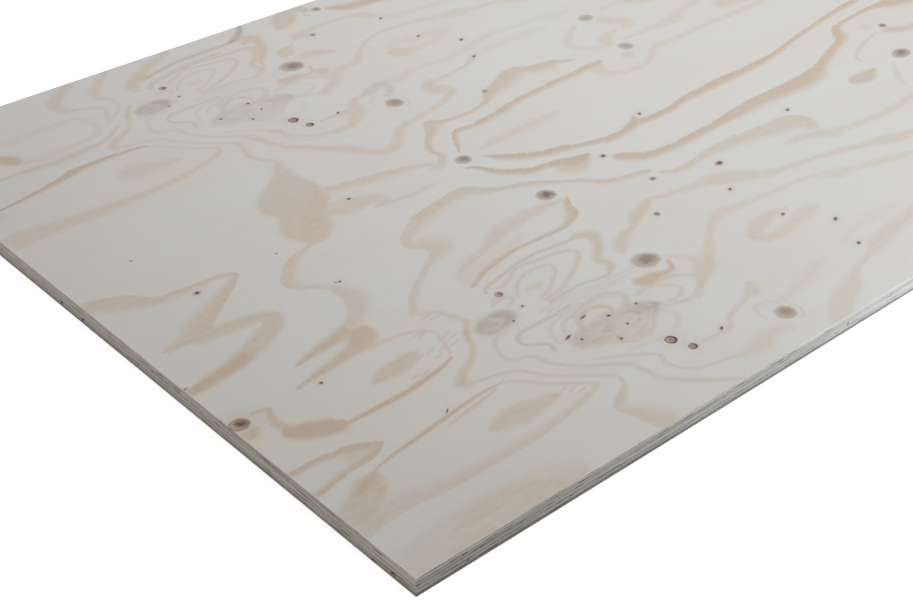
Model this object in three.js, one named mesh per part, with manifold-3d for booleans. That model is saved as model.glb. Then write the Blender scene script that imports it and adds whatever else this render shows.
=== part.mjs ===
// Softwood plywood sheet, lying flat: five rotary-cut veneers, each with its grain square to the
// next one's, glued, pressed, sawn to size and eased along the arrises.
//
// Millimetres, +Z up. The origin is the middle of the underside. +X runs along the sheet's length,
// which is also the grain of the face, core and back veneers. The reference corner, from which the
// knot holes are measured, is the one at -X, -Y.

import * as THREE from "three";
import { mergeVertices } from "three/addons/utils/BufferGeometryUtils.js";
import Module from "manifold-3d";

const wasm = await Module();
wasm.setup();

// ---------------------------------------------------------------------------------------------
// Driving dimensions
// ---------------------------------------------------------------------------------------------

const sheetLength = 2440;
const sheetWidth = 1220;

const faceVeneerThickness = 4.75;
const crossbandThickness = 4.625;
const coreVeneerThickness = 6.25;
const backVeneerThickness = 4.75;

// The sharp sawn arris is broken by hand sanding, at the face and at the back.
const arrisEase = 0.5;

// A knot hole is this many times longer along its veneer's grain than across it.
const knotHoleStretch = 1.6;
const knotHoleSides = 12;

// How far a cutting tool runs past what it cuts.
const toolOverrun = 1;

// ---------------------------------------------------------------------------------------------
// Finishes
// ---------------------------------------------------------------------------------------------

const finishes = {
  face: { color: 0xd9cfc1, roughness: 0.72, metalness: 0 },
  crossband: { color: 0xa39a8a, roughness: 0.86, metalness: 0 },
  core: { color: 0xb9b09f, roughness: 0.84, metalness: 0 },
  back: { color: 0xcdbfa9, roughness: 0.78, metalness: 0 },
};

// ---------------------------------------------------------------------------------------------
// Lay-up, from the underside to the face
// ---------------------------------------------------------------------------------------------

const Grain = { ALONG_LENGTH: "along the length", ACROSS_WIDTH: "across the width" };

// Each knot hole lies where the saw opened it: fromEnd is measured along the length from the -X end
// and fromSide across the width from the -Y side, to the hole's centre. width is across the grain.
// A hole that doesn't go right through its veneer has a depth, from the veneer's upper skin.
const layUp = [
  {
    name: "back_veneer",
    thickness: backVeneerThickness,
    grain: Grain.ALONG_LENGTH,
    finish: finishes.back,
    knotHoles: [{ fromEnd: 0, fromSide: 68, width: 7, depth: 3.2 }],
  },
  {
    name: "lower_crossband",
    thickness: crossbandThickness,
    grain: Grain.ACROSS_WIDTH,
    finish: finishes.crossband,
    knotHoles: [
      { fromEnd: 1, fromSide: 36, width: 5 },
      { fromEnd: 1, fromSide: 651, width: 4 },
      { fromEnd: 1, fromSide: 703, width: 3.5 },
    ],
  },
  {
    name: "core_veneer",
    thickness: coreVeneerThickness,
    grain: Grain.ALONG_LENGTH,
    finish: finishes.core,
    knotHoles: [],
  },
  {
    name: "upper_crossband",
    thickness: crossbandThickness,
    grain: Grain.ACROSS_WIDTH,
    finish: finishes.crossband,
    knotHoles: [{ fromEnd: 66, fromSide: 0, width: 7, depth: 1.7 }],
  },
  {
    name: "face_veneer",
    thickness: faceVeneerThickness,
    grain: Grain.ALONG_LENGTH,
    finish: finishes.face,
    knotHoles: [],
  },
];

const sheetThickness = layUp.reduce((height, veneer) => height + veneer.thickness, 0);

// ---------------------------------------------------------------------------------------------
// Between three.js geometry and solids that can be cut
// ---------------------------------------------------------------------------------------------

/** The solid inside a closed three.js geometry. */
function solidOf(geometry) {
  const shell = geometry.clone();
  shell.deleteAttribute("normal");
  shell.deleteAttribute("uv");
  const welded = mergeVertices(shell);
  return new wasm.Manifold(
    new wasm.Mesh({
      numProp: 3,
      vertProperties: welded.getAttribute("position").array,
      triVerts: new Uint32Array(welded.index.array),
    }),
  );
}

/** A flat-shaded three.js geometry with the faces of a solid. */
function geometryOf(solid) {
  const { vertProperties, triVerts } = solid.getMesh();
  const indexed = new THREE.BufferGeometry();
  indexed.setAttribute("position", new THREE.BufferAttribute(vertProperties, 3));
  indexed.setIndex(new THREE.BufferAttribute(triVerts, 1));
  const geometry = indexed.toNonIndexed();
  geometry.computeVertexNormals();
  return geometry;
}

// ---------------------------------------------------------------------------------------------
// The sheet and its veneers
// ---------------------------------------------------------------------------------------------

/** The whole sheet as sawn to size, its top and bottom arrises eased all the way round. */
function sawnSheet() {
  const outline = new THREE.Shape([
    new THREE.Vector2(-sheetLength / 2, -sheetWidth / 2),
    new THREE.Vector2(sheetLength / 2, -sheetWidth / 2),
    new THREE.Vector2(sheetLength / 2, sheetWidth / 2),
    new THREE.Vector2(-sheetLength / 2, sheetWidth / 2),
  ]);
  const geometry = new THREE.ExtrudeGeometry(outline, {
    depth: sheetThickness - 2 * arrisEase,
    bevelEnabled: true,
    bevelThickness: arrisEase,
    bevelSize: arrisEase,
    bevelOffset: -arrisEase,
    bevelSegments: 1,
  });
  geometry.translate(0, 0, arrisEase);
  return solidOf(geometry);
}

/** An upright tool that cuts a knot hole down from its veneer's upper skin. */
function knotHoleTool({ fromEnd, fromSide, width, depth }, veneer, upperSkin) {
  const across = width / 2;
  const along = across * knotHoleStretch;
  const section = new THREE.Shape();
  if (veneer.grain === Grain.ALONG_LENGTH) {
    section.absellipse(0, 0, along, across, 0, 2 * Math.PI);
  } else {
    section.absellipse(0, 0, across, along, 0, 2 * Math.PI);
  }
  const reach = depth ?? veneer.thickness + toolOverrun;
  const geometry = new THREE.ExtrudeGeometry(section, {
    depth: reach + toolOverrun,
    bevelEnabled: false,
    curveSegments: knotHoleSides,
  });
  geometry.translate(fromEnd - sheetLength / 2, fromSide - sheetWidth / 2, upperSkin - reach);
  return solidOf(geometry);
}

/** One veneer: its slice of the sheet, less the knot holes that the saw opened in it. */
function veneerMesh(slice, veneer, upperSkin) {
  const solid = veneer.knotHoles.reduce(
    (cut, hole) => cut.subtract(knotHoleTool(hole, veneer, upperSkin)),
    slice,
  );
  const mesh = new THREE.Mesh(
    geometryOf(solid),
    new THREE.MeshStandardMaterial({ ...veneer.finish, flatShading: true }),
  );
  mesh.name = veneer.name;
  return mesh;
}

/** The sheet, cut apart at its glue lines from the underside up, one mesh for each veneer. */
function plywoodSheet() {
  const sheet = new THREE.Group();
  sheet.name = "plywood_sheet";
  let glueLine = 0;
  let remaining = sawnSheet();
  for (const veneer of layUp) {
    glueLine += veneer.thickness;
    if (veneer === layUp[layUp.length - 1]) {
      sheet.add(veneerMesh(remaining, veneer, glueLine));
    } else {
      const [above, below] = remaining.splitByPlane([0, 0, 1], glueLine);
      sheet.add(veneerMesh(below, veneer, glueLine));
      remaining = above;
    }
  }
  return sheet;
}

export default plywoodSheet();
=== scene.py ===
"""Dresses the plywood sheet: five glued veneers with their figure, knots, glue lines and sawn edges.

Lengths in the figure's tables are millimetres from the sheet's reference corner, the one at -X, -Y:
first along the sheet, then across it. Everything that is handed to Blender is in metres.
"""

import logging
import math
from collections.abc import Callable
from dataclasses import dataclass, field, replace
from enum import Enum
from functools import partial, reduce
from itertools import groupby

import bpy
import numpy as np
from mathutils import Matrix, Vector


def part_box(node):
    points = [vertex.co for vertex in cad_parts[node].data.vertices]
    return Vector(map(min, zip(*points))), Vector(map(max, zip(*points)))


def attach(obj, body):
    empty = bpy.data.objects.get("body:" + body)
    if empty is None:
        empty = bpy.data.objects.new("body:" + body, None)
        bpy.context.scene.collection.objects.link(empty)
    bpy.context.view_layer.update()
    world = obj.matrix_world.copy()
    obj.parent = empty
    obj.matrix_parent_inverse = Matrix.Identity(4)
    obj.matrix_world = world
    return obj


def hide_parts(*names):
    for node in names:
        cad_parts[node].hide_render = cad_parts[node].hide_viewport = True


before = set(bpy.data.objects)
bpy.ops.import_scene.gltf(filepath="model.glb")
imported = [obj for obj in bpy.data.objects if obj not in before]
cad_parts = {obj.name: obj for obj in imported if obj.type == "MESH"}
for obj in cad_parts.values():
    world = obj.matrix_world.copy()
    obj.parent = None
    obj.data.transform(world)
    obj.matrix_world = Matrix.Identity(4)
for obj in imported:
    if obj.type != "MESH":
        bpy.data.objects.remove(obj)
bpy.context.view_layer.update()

LOG = logging.getLogger("plywood")
MM = 0.001
TINY = 1e-6
BODY = "root"

# Mesh attributes of the figure, beside those of the tints.
CUT_SHADE, CUT_SIDE = "latewood_cut", "cut_side"
KNOT_PLACE, KNOT_TONE, KNOT_EYE = "knot_place", "knot_tone", "knot_eye"
GRAIN = "grain"

Colour = tuple[float, float, float]
Point = tuple[float, ...]


# ------------------------------------------------------------------------------------------------
# The figure: latewood stripes and knots
# ------------------------------------------------------------------------------------------------


class Tint(Enum):
    """The colour that a stripe takes, which is also its mesh attribute's name."""

    PEACH = "latewood_peach"
    MAUVE = "latewood_mauve"
    OLIVE = "latewood_olive"
    TAUPE = "knotwood"


class Crisp(Enum):
    """Which side of a stripe ends sharply, looking along its line."""

    NEITHER = 0
    LEFT = 1
    RIGHT = -1


class KnotKind(Enum):
    """How a knot looks: its grey body, its dark core, its bark ring, its amber eye and its peach halo."""

    PIN = (0.85, 1.0, 0.0, 0.0, 0.3)
    FAINT_PIN = (0.5, 0.7, 0.0, 0.0, 0.0)
    RED_PIN = (0.5, 0.75, 0.6, 0.45, 0.2)
    PALE_PIN = (0.48, 0.7, 0.15, 0.2, 0.1)
    LOOSE = (0.55, 0.48, 1.0, 1.0, 0.3)
    SOUND = (0.80, 0.52, 0.0, 0.0, 0.0)
    DARK = (0.62, 1.0, 0.4, 0.55, 0.5)
    DEEP = (0.92, 0.72, 0.0, 0.0, 0.0)
    DEEP_PIN = (0.62, 1.0, 0.4, 0.35, 0.2)
    GREY = (0.80, 0.36, 0.0, 0.0, 0.1)
    FADED = (0.66, 0.22, 0.0, 0.0, 0.1)
    SWIRL = (0.38, 0.0, 0.0, 0.0, 0.0)

    def __init__(self, body: float, core: float, ring: float, eye: float, halo: float) -> None:
        """Names the five numbers of a kind."""
        self.body = body
        self.core = core
        self.ring = ring
        self.eye = eye
        self.halo = halo


@dataclass(frozen=True)
class Placement:
    """A flip, stretch and shift of the figure, in millimetres.

    Attributes:
        along: Factor and shift along the sheet.
        across: Factor and shift across the sheet.
    """

    along: tuple[float, float] = (1.0, 0.0)
    across: tuple[float, float] = (1.0, 0.0)

    def moved(self, point: Point) -> Point:
        """Returns the point after the flip, stretch and shift, with its width as it was."""
        x = self.along[0] * point[0] + self.along[1]
        y = self.across[0] * point[1] + self.across[1]
        return (x, y, *point[2:])

    def mirrors(self) -> bool:
        """Returns whether left and right change sides."""
        return self.along[0] * self.across[0] < 0


@dataclass(frozen=True)
class Stripe:
    """One stripe of latewood.

    Attributes:
        tint: Its colour.
        strength: How fully it takes that colour, from 0 to 1.
        line: Points that it runs through smoothly, each with its width there.
        crisp: The side that ends sharply.
        coarse: How many times coarser than usual its mesh may be.
    """

    tint: Tint
    strength: float
    line: tuple[Point, ...]
    crisp: Crisp = Crisp.NEITHER
    coarse: float = 1.0

    def placed(self, placement: Placement) -> "Stripe":
        """Returns the stripe as it lies after a placement."""
        crisp = Crisp(-self.crisp.value) if placement.mirrors() else self.crisp
        return replace(self, line=tuple(map(placement.moved, self.line)), crisp=crisp)


@dataclass(frozen=True)
class Knot:
    """One knot or pin.

    Attributes:
        kind: How it looks.
        centre: Where it is.
        radii: Half its length and half its width.
        tilt: How far its length is turned from the sheet's, in degrees.
    """

    kind: KnotKind
    centre: Point
    radii: Point
    tilt: float = 0.0

    def placed(self, placement: Placement) -> "Knot":
        """Returns the knot as it lies after a placement."""
        tilt = -self.tilt if placement.mirrors() else self.tilt
        return Knot(self.kind, placement.moved(self.centre), self.radii, tilt)


def drawn(tint: Tint, strength: float, *line: Point, width: float = 6.0, crisp: Crisp = Crisp.NEITHER) -> Stripe:
    """Returns a stripe whose points may leave their width to the common one."""
    full = tuple(point if len(point) == 3 else (*point, width) for point in line)
    return Stripe(tint, strength, full, crisp)


# The brushes: warm latewood, cool grey latewood, yellow-brown latewood and the grey-brown wood of knots.
peach = partial(drawn, Tint.PEACH)
mauve = partial(drawn, Tint.MAUVE, width=5.0)
olive = partial(drawn, Tint.OLIVE)
taupe = partial(drawn, Tint.TAUPE)

# The knife meets the same knots again one turn of the log later, a little further apart each time.
NEXT_TURN = Placement(across=(1.045, 765.0))
EARLIER_TURN = Placement(across=(1 / 1.045, -765.0 / 1.045))
# How many times coarser the mesh may be where the same figure comes back at the other end.
FAR_CELLS = 2.0

# Stripes between the -X end and the first whorl of knots.
END_STRIPES = (
    peach(0.85, (32, 333, 4), (53, 327, 6), (50, 318, 7), (45, 298, 9), (51, 281, 10)),
    peach(1.0, (38, 280, 8), (58, 268, 24), (78, 258, 26), (98, 250, 20), (108, 252, 5)),
    peach(1.0, (98, 246, 3), (127, 245, 5), (161, 245, 6), (200, 246, 6), (235, 251, 5), (258, 255, 4),
          (281, 263, 3)),
    peach(0.4, (284, 268, 3), (297, 303, 4), (296, 321, 5), (276, 336, 5), (245, 342, 6), (215, 345, 7),
          (195, 347, 8)),
    peach(0.6, (174, 285, 4), (190, 288, 13), (210, 291, 20), (232, 294, 21), (256, 299, 8)),
    peach(0.5, (174, 285, 4), (190, 287, 9), (206, 289, 13), (224, 292, 8)),
    peach(0.85, (0, 216, 9), (36, 216, 9), (69, 211, 12), (90, 203, 14), (106, 196, 11), (119, 191, 2),
          crisp=Crisp.LEFT),
    peach(0.85, (0, 167, 9), (24, 172, 9), (53, 178, 9), (83, 181, 11), (104, 188, 11), (118, 193, 2),
          crisp=Crisp.RIGHT),
    peach(1.0, (73, 159, 1.5), (100, 166, 3), (137, 171, 4), (182, 177, 4), (227, 183, 4), (258, 186, 3),
          (293, 185, 1.5)),
    peach(0.6, (188, 166, 1.5), (210, 169, 3), (235, 173, 4), (262, 177, 3), (280, 182, 1.5)),
    peach(0.6, (77, 157, 8), (64, 146, 24), (48, 134, 34), (28, 122, 38), (0, 110, 30)),
    peach(0.45, (0, 98, 40), (60, 100, 28), (100, 92, 22), (170, 86, 16), (242, 86, 14), (303, 91, 10),
          (364, 104, 8), (378, 113, 4), crisp=Crisp.RIGHT),
    peach(0.5, (217, 127, 4), (242, 129, 20), (262, 128, 30), (285, 127, 24), (305, 126, 14), (328, 125, 4)),
    peach(0.42, (66, 20, 6), (95, 30, 18), (125, 34, 26), (160, 30, 26), (190, 20, 26), (222, 8, 18), (256, 8, 4)),
    peach(0.5, (50, 4, 10), (90, 6, 10), (115, 4, 12)),
    peach(0.4, (120, 2, 14), (150, 5, 14), (190, 4, 20), (240, 3, 10)),
    peach(0.6, (0, 650, 26), (36, 634, 32), (54, 622, 32), (68, 610, 24), (85, 603, 16), (142, 598, 10),
          (176, 597, 9), (191, 587, 9), (170, 568, 13), (130, 544, 22), (106, 529, 30), (85, 517, 34),
          (60, 504, 22), (21, 500, 6), crisp=Crisp.LEFT),
    peach(0.6, (60, 498, 18), (85, 497, 20), (142, 489, 16), (168, 482, 15), (168, 470, 20), (154, 459, 24),
          (118, 439, 24), (96, 430, 22)),
    peach(0.95, (104, 433, 20), (82, 425, 20), (39, 417, 16), (18, 413, 13), (0, 412, 12)),
    peach(0.5, (318, 582, 5), (295, 576, 8), (272, 568, 13), (248, 550, 17), (229, 525, 20), (234, 506, 13),
          (250, 493, 11), (266, 474, 16), (272, 449, 32), (265, 427, 28), (246, 407, 22), (225, 393, 20),
          crisp=Crisp.RIGHT),
    peach(0.85, (226, 394, 16), (203, 387, 15), (166, 381, 10), (147, 377, 7), (128, 373, 3)),
    peach(0.85, (232, 390, 18), (228, 372, 32), (214, 358, 24), (196, 353, 15), (170, 348, 11), (136, 342, 8),
          (101, 335, 3)),
    peach(0.42, (0, 845, 34), (30, 849, 34), (61, 848, 27), (121, 843, 21), (182, 842, 14), (242, 843, 9),
          (303, 852, 8), (348, 866, 6), (364, 874, 5), (370, 887, 3)),
    peach(0.3, (210, 900, 6), (224, 903, 32), (242, 906, 42), (258, 903, 30), (280, 898, 20), (311, 894, 5)),
    peach(0.95, (37, 935, 5), (85, 943, 8), (127, 952, 10), (151, 958, 12), (170, 964, 15), (188, 967, 12),
          (236, 968, 9), (282, 964, 6), (296, 959, 4), crisp=Crisp.LEFT),
    peach(0.85, (104, 1074, 8), (112, 1062, 20), (121, 1050, 22), (129, 1036, 10)),
    peach(0.3, (124, 1036, 10), (151, 1031, 9), (206, 1032, 8), (251, 1038, 8), (270, 1060, 8), (261, 1102, 9),
          (212, 1106, 9), (133, 1102, 9)),
    peach(0.5, (78, 1011, 5), (136, 1008, 10), (167, 1005, 12), (212, 1008, 9), (258, 1017, 6), (299, 1045, 3)),
    peach(0.5, (316, 1220, 11), (297, 1205, 13), (282, 1193, 14), (258, 1168, 19), (258, 1144, 13),
          (264, 1135, 11), (278, 1128, 6)),
    peach(0.35, (276, 1129, 7), (294, 1123, 7), (309, 1108, 7), (306, 1093, 7), (291, 1059, 6)),
    peach(0.38, (382, 1220, 8), (357, 1196, 10), (342, 1181, 13), (330, 1168, 14), (321, 1153, 13),
          (324, 1138, 10), (333, 1126, 5), (330, 1096, 4), (303, 1068, 2)),
    peach(0.46, (375, 1121, 7), (385, 1147, 20), (409, 1165, 20), (430, 1181, 18), (454, 1193, 15),
          (482, 1208, 11), (500, 1222, 10)),
    olive(0.8, (2, 299, 16), (14, 302, 14), (24, 310, 6)),
    olive(0.28, (0, 14, 36), (90, 24, 54), (190, 22, 44), (262, 14, 20)),
    mauve(0.3, (0, 914, 24), (24, 916, 20), (44, 920, 8)),
    peach(0.4, (60, 196, 10), (80, 194, 24), (98, 192, 18), (112, 193, 4)),
    peach(0.85, (76, 158, 5), (64, 152, 13), (50, 147, 16), (34, 142, 8)),
)

# The wide pale sweeps between the two turns of the first whorl.
SWEEP_STRIPES = (
    peach(0.45, (495, 541, 16), (461, 534, 21), (433, 520, 20), (413, 508, 17), (403, 495, 14), (409, 486, 16),
          (424, 478, 30), (434, 468, 36), (429, 457, 30), (404, 444, 13), (379, 430, 9), (353, 413, 9),
          (328, 393, 11), (309, 371, 8), (303, 363, 5), crisp=Crisp.RIGHT),
    olive(0.5, (300, 368), (315, 356), (330, 347), (336, 332), (342, 314), (339, 300)),
    peach(0.24, (395, 372, 12), (415, 378, 30), (450, 386, 24), (500, 398, 14), (540, 412, 6)),
    peach(0.42, (397, 386, 8), (439, 407, 10), (474, 417, 11), (516, 435, 20), (541, 441, 20), (601, 445, 14),
          (646, 441, 7)),
    peach(0.85, (400, 359, 6), (436, 376, 9), (468, 384, 9), (510, 389, 6), (586, 386, 8), (604, 391, 10),
          (620, 398, 14), (632, 409, 16), (638, 423, 12), (647, 435, 8), (654, 443, 3), crisp=Crisp.RIGHT),
    peach(0.52, (412, 796, 4), (403, 780, 13), (391, 751, 32), (376, 718, 78), (360, 688, 98), (356, 676, 98),
          (352, 663, 80), (346, 648, 64), (336, 628, 68), (328, 612, 70), (322, 599, 52), (316, 589, 34),
          (308, 580, 8)),
    peach(0.62, (410, 716, 8), (396, 680, 20), (368, 648, 26), (334, 616, 28), (312, 598, 20), (304, 590, 10)),
    peach(0.42, (364, 640, 34), (409, 626, 31), (433, 621, 29), (454, 612, 21), (457, 603, 13), (440, 597, 10)),
    peach(0.45, (432, 598, 5), (470, 594, 6), (490, 592, 7), (510, 592, 6), (538, 594, 3)),
    peach(0.48, (400, 684, 18), (420, 680, 17), (467, 669, 20), (510, 660, 19), (550, 650, 12), (577, 639, 7),
          crisp=Crisp.LEFT),
    peach(0.45, (398, 882, 6), (397, 862, 6), (391, 845, 7), (389, 832, 7), (396, 812, 7), (408, 795, 6)),
    peach(0.45, (415, 892, 5), (430, 859, 6), (448, 820, 8), (464, 805, 10), (495, 770, 13), (510, 757, 18),
          (525, 732, 13), (540, 718, 13), (553, 713, 12), (570, 717, 13), (598, 743, 10), (612, 755, 10),
          (650, 763, 8), (700, 773, 8), (735, 787, 10), (746, 795, 18), (747, 806, 22), (738, 818, 31),
          (736, 830, 31), (744, 842, 13), (770, 843, 8), (820, 848, 6), (838, 854, 9)),
    peach(0.4, (454, 881, 8), (467, 866, 8), (469, 852, 6)),
    mauve(0.45, (469, 854, 6), (480, 835, 5), (505, 820, 5), (532, 813, 7)),
    peach(0.45, (528, 813, 7), (555, 810, 10), (572, 817, 13), (583, 830, 16), (595, 842, 30), (604, 857, 14),
          (612, 872, 8), (638, 876, 6)),
    mauve(0.56, (532, 852, 4), (560, 852, 6), (584, 847, 14)),
    mauve(0.62, (634, 876, 7), (660, 883, 14), (674, 888, 15), (684, 884, 15), (683, 870, 11), (675, 858, 10),
          (662, 848, 6)),
    peach(0.3, (684, 889, 8), (702, 894, 12), (715, 884, 26), (728, 888, 14), (760, 894, 8), (830, 890, 8),
          (860, 897, 10), (900, 906, 10), (940, 912, 8)),
    mauve(0.3, (930, 912, 8), (1020, 907, 6), (1062, 904, 10), (1080, 892, 8), (1098, 897, 6), (1118, 905, 4)),
    peach(0.4, (832, 851, 5), (845, 859, 9), (858, 867, 9), (872, 872, 6)),
    mauve(0.25, (868, 872, 7), (900, 873, 8), (950, 873, 9), (975, 872, 12), (1030, 870, 5)),
    peach(0.42, (562, 623, 10), (572, 628, 14), (586, 632, 8), (598, 641, 8), (608, 652, 9)),
    peach(0.65, (588, 636, 6), (600, 648, 10), (598, 662, 10), (600, 678, 10), (610, 692, 9), (630, 712, 13),
          (645, 725, 20), (653, 734, 23), (668, 731, 12), (690, 726, 9), (725, 725, 8), (750, 729, 8),
          (770, 737, 10), (783, 748, 17), (800, 757, 23), (820, 763, 28), (840, 771, 30), (860, 779, 34),
          (877, 781, 30), (900, 770, 25), (925, 766, 25), (945, 764, 18), (962, 755, 9), (980, 749, 3),
          crisp=Crisp.LEFT),
    peach(0.8, (624, 638, 3), (637, 655, 6), (645, 670, 8), (655, 683, 10), (668, 692, 10), (705, 690, 12),
          (755, 695, 13), (780, 701, 14), (820, 708, 11), (880, 711, 12), (930, 713, 12), (965, 716, 14),
          (990, 715, 14), (1006, 720, 6), crisp=Crisp.LEFT),
    peach(0.36, (990, 712, 14), (978, 698, 20), (976, 684, 16), (992, 668, 10), (1015, 662, 9), (1045, 661, 9),
          (1066, 668, 9), (1084, 680, 8), (1102, 693, 10), (1118, 698, 12), (1160, 695, 10), (1220, 698, 9),
          (1280, 698, 9), (1350, 697, 10), (1400, 698, 10), (1470, 694, 6), (1520, 690, 3)),
    peach(0.34, (655, 625, 5), (690, 631, 13), (760, 632, 15), (790, 634, 11), (826, 637, 6)),
    peach(0.52, (402, 103, 5), (397, 90, 6), (385, 80, 8), (370, 70, 12), (360, 60, 15), (366, 46, 20),
          (378, 18, 32), (390, -4, 34), crisp=Crisp.RIGHT),
)

# The swirl and the burl of the first whorl, with the fine lines that run round them.
WHORL_STRIPES = (
    olive(0.62, (348, 311), (339, 302), (324, 284), (315, 265), (298, 246), (279, 236, 8)),
    peach(0.62, (283, 237, 7), (264, 227, 9), (253, 214, 12), (250, 209, 8)),
    mauve(0.55, (250, 209, 8), (279, 204), (318, 192), (330, 178), (339, 163), (364, 137), (394, 114),
          (402, 103), width=4),
    mauve(0.55, (291, 184), (306, 175), (330, 148), (345, 134), (373, 112), width=4),
    mauve(0.55, (348, 257), (336, 248), (329, 233), (326, 221), (331, 209), (354, 199), (361, 175), (382, 148),
          (415, 124), (430, 112), (436, 87)),
    peach(0.4, (436, 90, 5), (438, 69, 6), (457, 45, 7), (480, 24, 7), (514, 0, 6)),
    mauve(0.8, (467, 248), (439, 245), (385, 245), (368, 240), (362, 230), (368, 218), (386, 204), (381, 187),
          width=4),
    mauve(0.44, (397, 196), (403, 218), (415, 230), (439, 237), (480, 242), width=3.5),
    mauve(0.55, (418, 208), (424, 218), (439, 227), (480, 236), width=3.5),
    mauve(0.51, (403, 148), (442, 124), (470, 102), (465, 81), (480, 54), (520, 42), (541, 36), width=4),
    mauve(0.85, (403, 336), (411, 346), (433, 352), (468, 360), (510, 365), (541, 362), (571, 359), (588, 360),
          width=4),
    olive(0.65, (584, 361, 8), (601, 354, 12), (609, 346, 15), (600, 333, 10), (592, 320, 10), (568, 300, 9),
          (573, 283, 10), (559, 269, 8)),
    mauve(0.7, (562, 269), (544, 265), (510, 272), (450, 269), width=4),
    peach(0.5, (424, 333), (448, 342), (474, 355), (520, 349), (548, 345), (561, 333), (553, 320), (520, 298),
          (480, 281), (450, 277), width=5),
    mauve(0.55, (427, 302), (436, 314), (450, 328), (468, 336), (492, 339), (512, 332), (504, 314), (468, 290),
          (450, 284), width=4),
    peach(0.4, (446, 308, 4), (462, 308, 10), (480, 309, 4)),
    olive(0.85, (317, 275, 3), (326, 287, 7), (335, 299, 3)),
    peach(0.65, (441, 204, 5), (448, 214, 8), (462, 222, 7), (478, 226, 6), (492, 220, 6), (501, 208, 5)),
    mauve(0.55, (403, 295), (421, 305), (415, 315), (403, 314), width=4),
    mauve(0.37, (424, 262), (480, 264), (540, 258), (590, 255), width=3),
    mauve(0.37, (430, 255), (490, 257), (545, 250), (592, 246), width=3),
    mauve(0.37, (440, 249), (500, 249), (560, 241), width=3),
    olive(0.36, (466, 230), (489, 224), (499, 214), (497, 204), width=6),
    olive(0.5, (446, 224, 5), (468, 234, 7), (510, 237, 8), (530, 226, 8), (531, 212, 7), (516, 200, 6)),
    mauve(0.49, (541, 206), (562, 209), (583, 205), (599, 190), (598, 178), (583, 170), (562, 172), (546, 181),
          width=4),
    mauve(0.51, (586, 211), (620, 205), (635, 187), (629, 175), (592, 157), (553, 169), width=5),
    mauve(0.49, (550, 210), (571, 214), (592, 219), width=4),
    peach(0.25, (468, 144), (490, 136), (508, 145), (530, 163), width=6),
    mauve(0.3, (452, 131), (500, 123), (532, 127), (551, 145), (545, 166), width=5),
    peach(0.9, (563, 230, 12), (580, 222, 18), (595, 223, 14), (614, 219, 8), (628, 222, 6), (638, 240, 3)),
    taupe(0.17, (404, 188, 6), (416, 184, 24), (440, 180, 42), (468, 174, 56), (496, 173, 54), (520, 176, 40),
          (540, 178, 24), (556, 175, 6)),
    taupe(0.22, (406, 182, 10), (420, 177, 20), (438, 171, 14), (456, 164, 5)),
    taupe(0.25, (418, 190, 6), (442, 196, 12), (476, 200, 12), (508, 195, 13), (534, 186, 18), (552, 175, 8)),
    taupe(0.2, (516, 182, 8), (530, 179, 22), (545, 176, 20), (556, 174, 6)),
    taupe(0.3, (452, 179, 4), (464, 180, 9), (478, 181, 4)),
    taupe(0.35, (464, 178), (463, 168), (461, 156), width=2.5),
    taupe(0.38, (506, 190), (516, 183), (516, 174), (506, 166), width=2.6),
    mauve(0.49, (455, 153), (472, 138), (500, 140), (514, 148), (527, 161), (545, 172), width=3.4),
    peach(0.3, (470, 144, 6), (488, 142, 10), (506, 147, 6)),
    olive(0.2, (410, 188, 10), (440, 178, 36), (480, 168, 46), (520, 174, 36), (550, 176, 8)),
    taupe(0.5, (371, 297, 4), (382, 295, 10), (391, 289, 14), (394, 280, 14), (390, 272, 8)),
    taupe(0.26, (337, 278, 8), (344, 285, 10), (356, 291, 10), (371, 297, 5)),
    taupe(0.34, (376, 292), (383, 286), (385, 279), (380, 273), (373, 271), width=2.6),
    taupe(0.26, (356, 280, 5), (364, 281, 9), (372, 279, 3)),
    taupe(0.16, (338, 276, 10), (352, 273, 16), (368, 268, 14), (384, 267, 10), (392, 270, 5)),
    olive(0.28, (330, 272, 6), (340, 265, 8), (356, 260, 9), (376, 260, 5)),
    olive(0.22, (336, 290, 5), (346, 298, 7), (362, 303, 7), (380, 304, 4)),
    taupe(0.25, (630, 64, 3), (628, 76, 3), (636, 88, 4), (652, 90, 4), (664, 82, 3)),
    taupe(0.25, (676, 66, 3), (679, 54, 3), (672, 40, 3), (660, 36, 3)),
)

# Where the knife has torn the grain beside the first whorl: short nicks, all lying alike.
TORN_SPOTS = (
    (309, 348), (320, 349), (319, 341), (330, 340), (336, 326), (277, 327), (287, 325), (281, 320), (298, 300),
    (309, 304), (312, 295), (295, 290), (251, 288), (268, 289), (285, 284), (223, 262), (234, 259), (271, 275),
    (303, 283), (338, 129), (345, 121), (351, 112), (402, 320), (396, 312),
)
TORN_GRAIN = tuple(mauve(0.8, (x - 8, y - 2), (x + 8, y + 2), width=1.6) for x, y in TORN_SPOTS)

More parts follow.
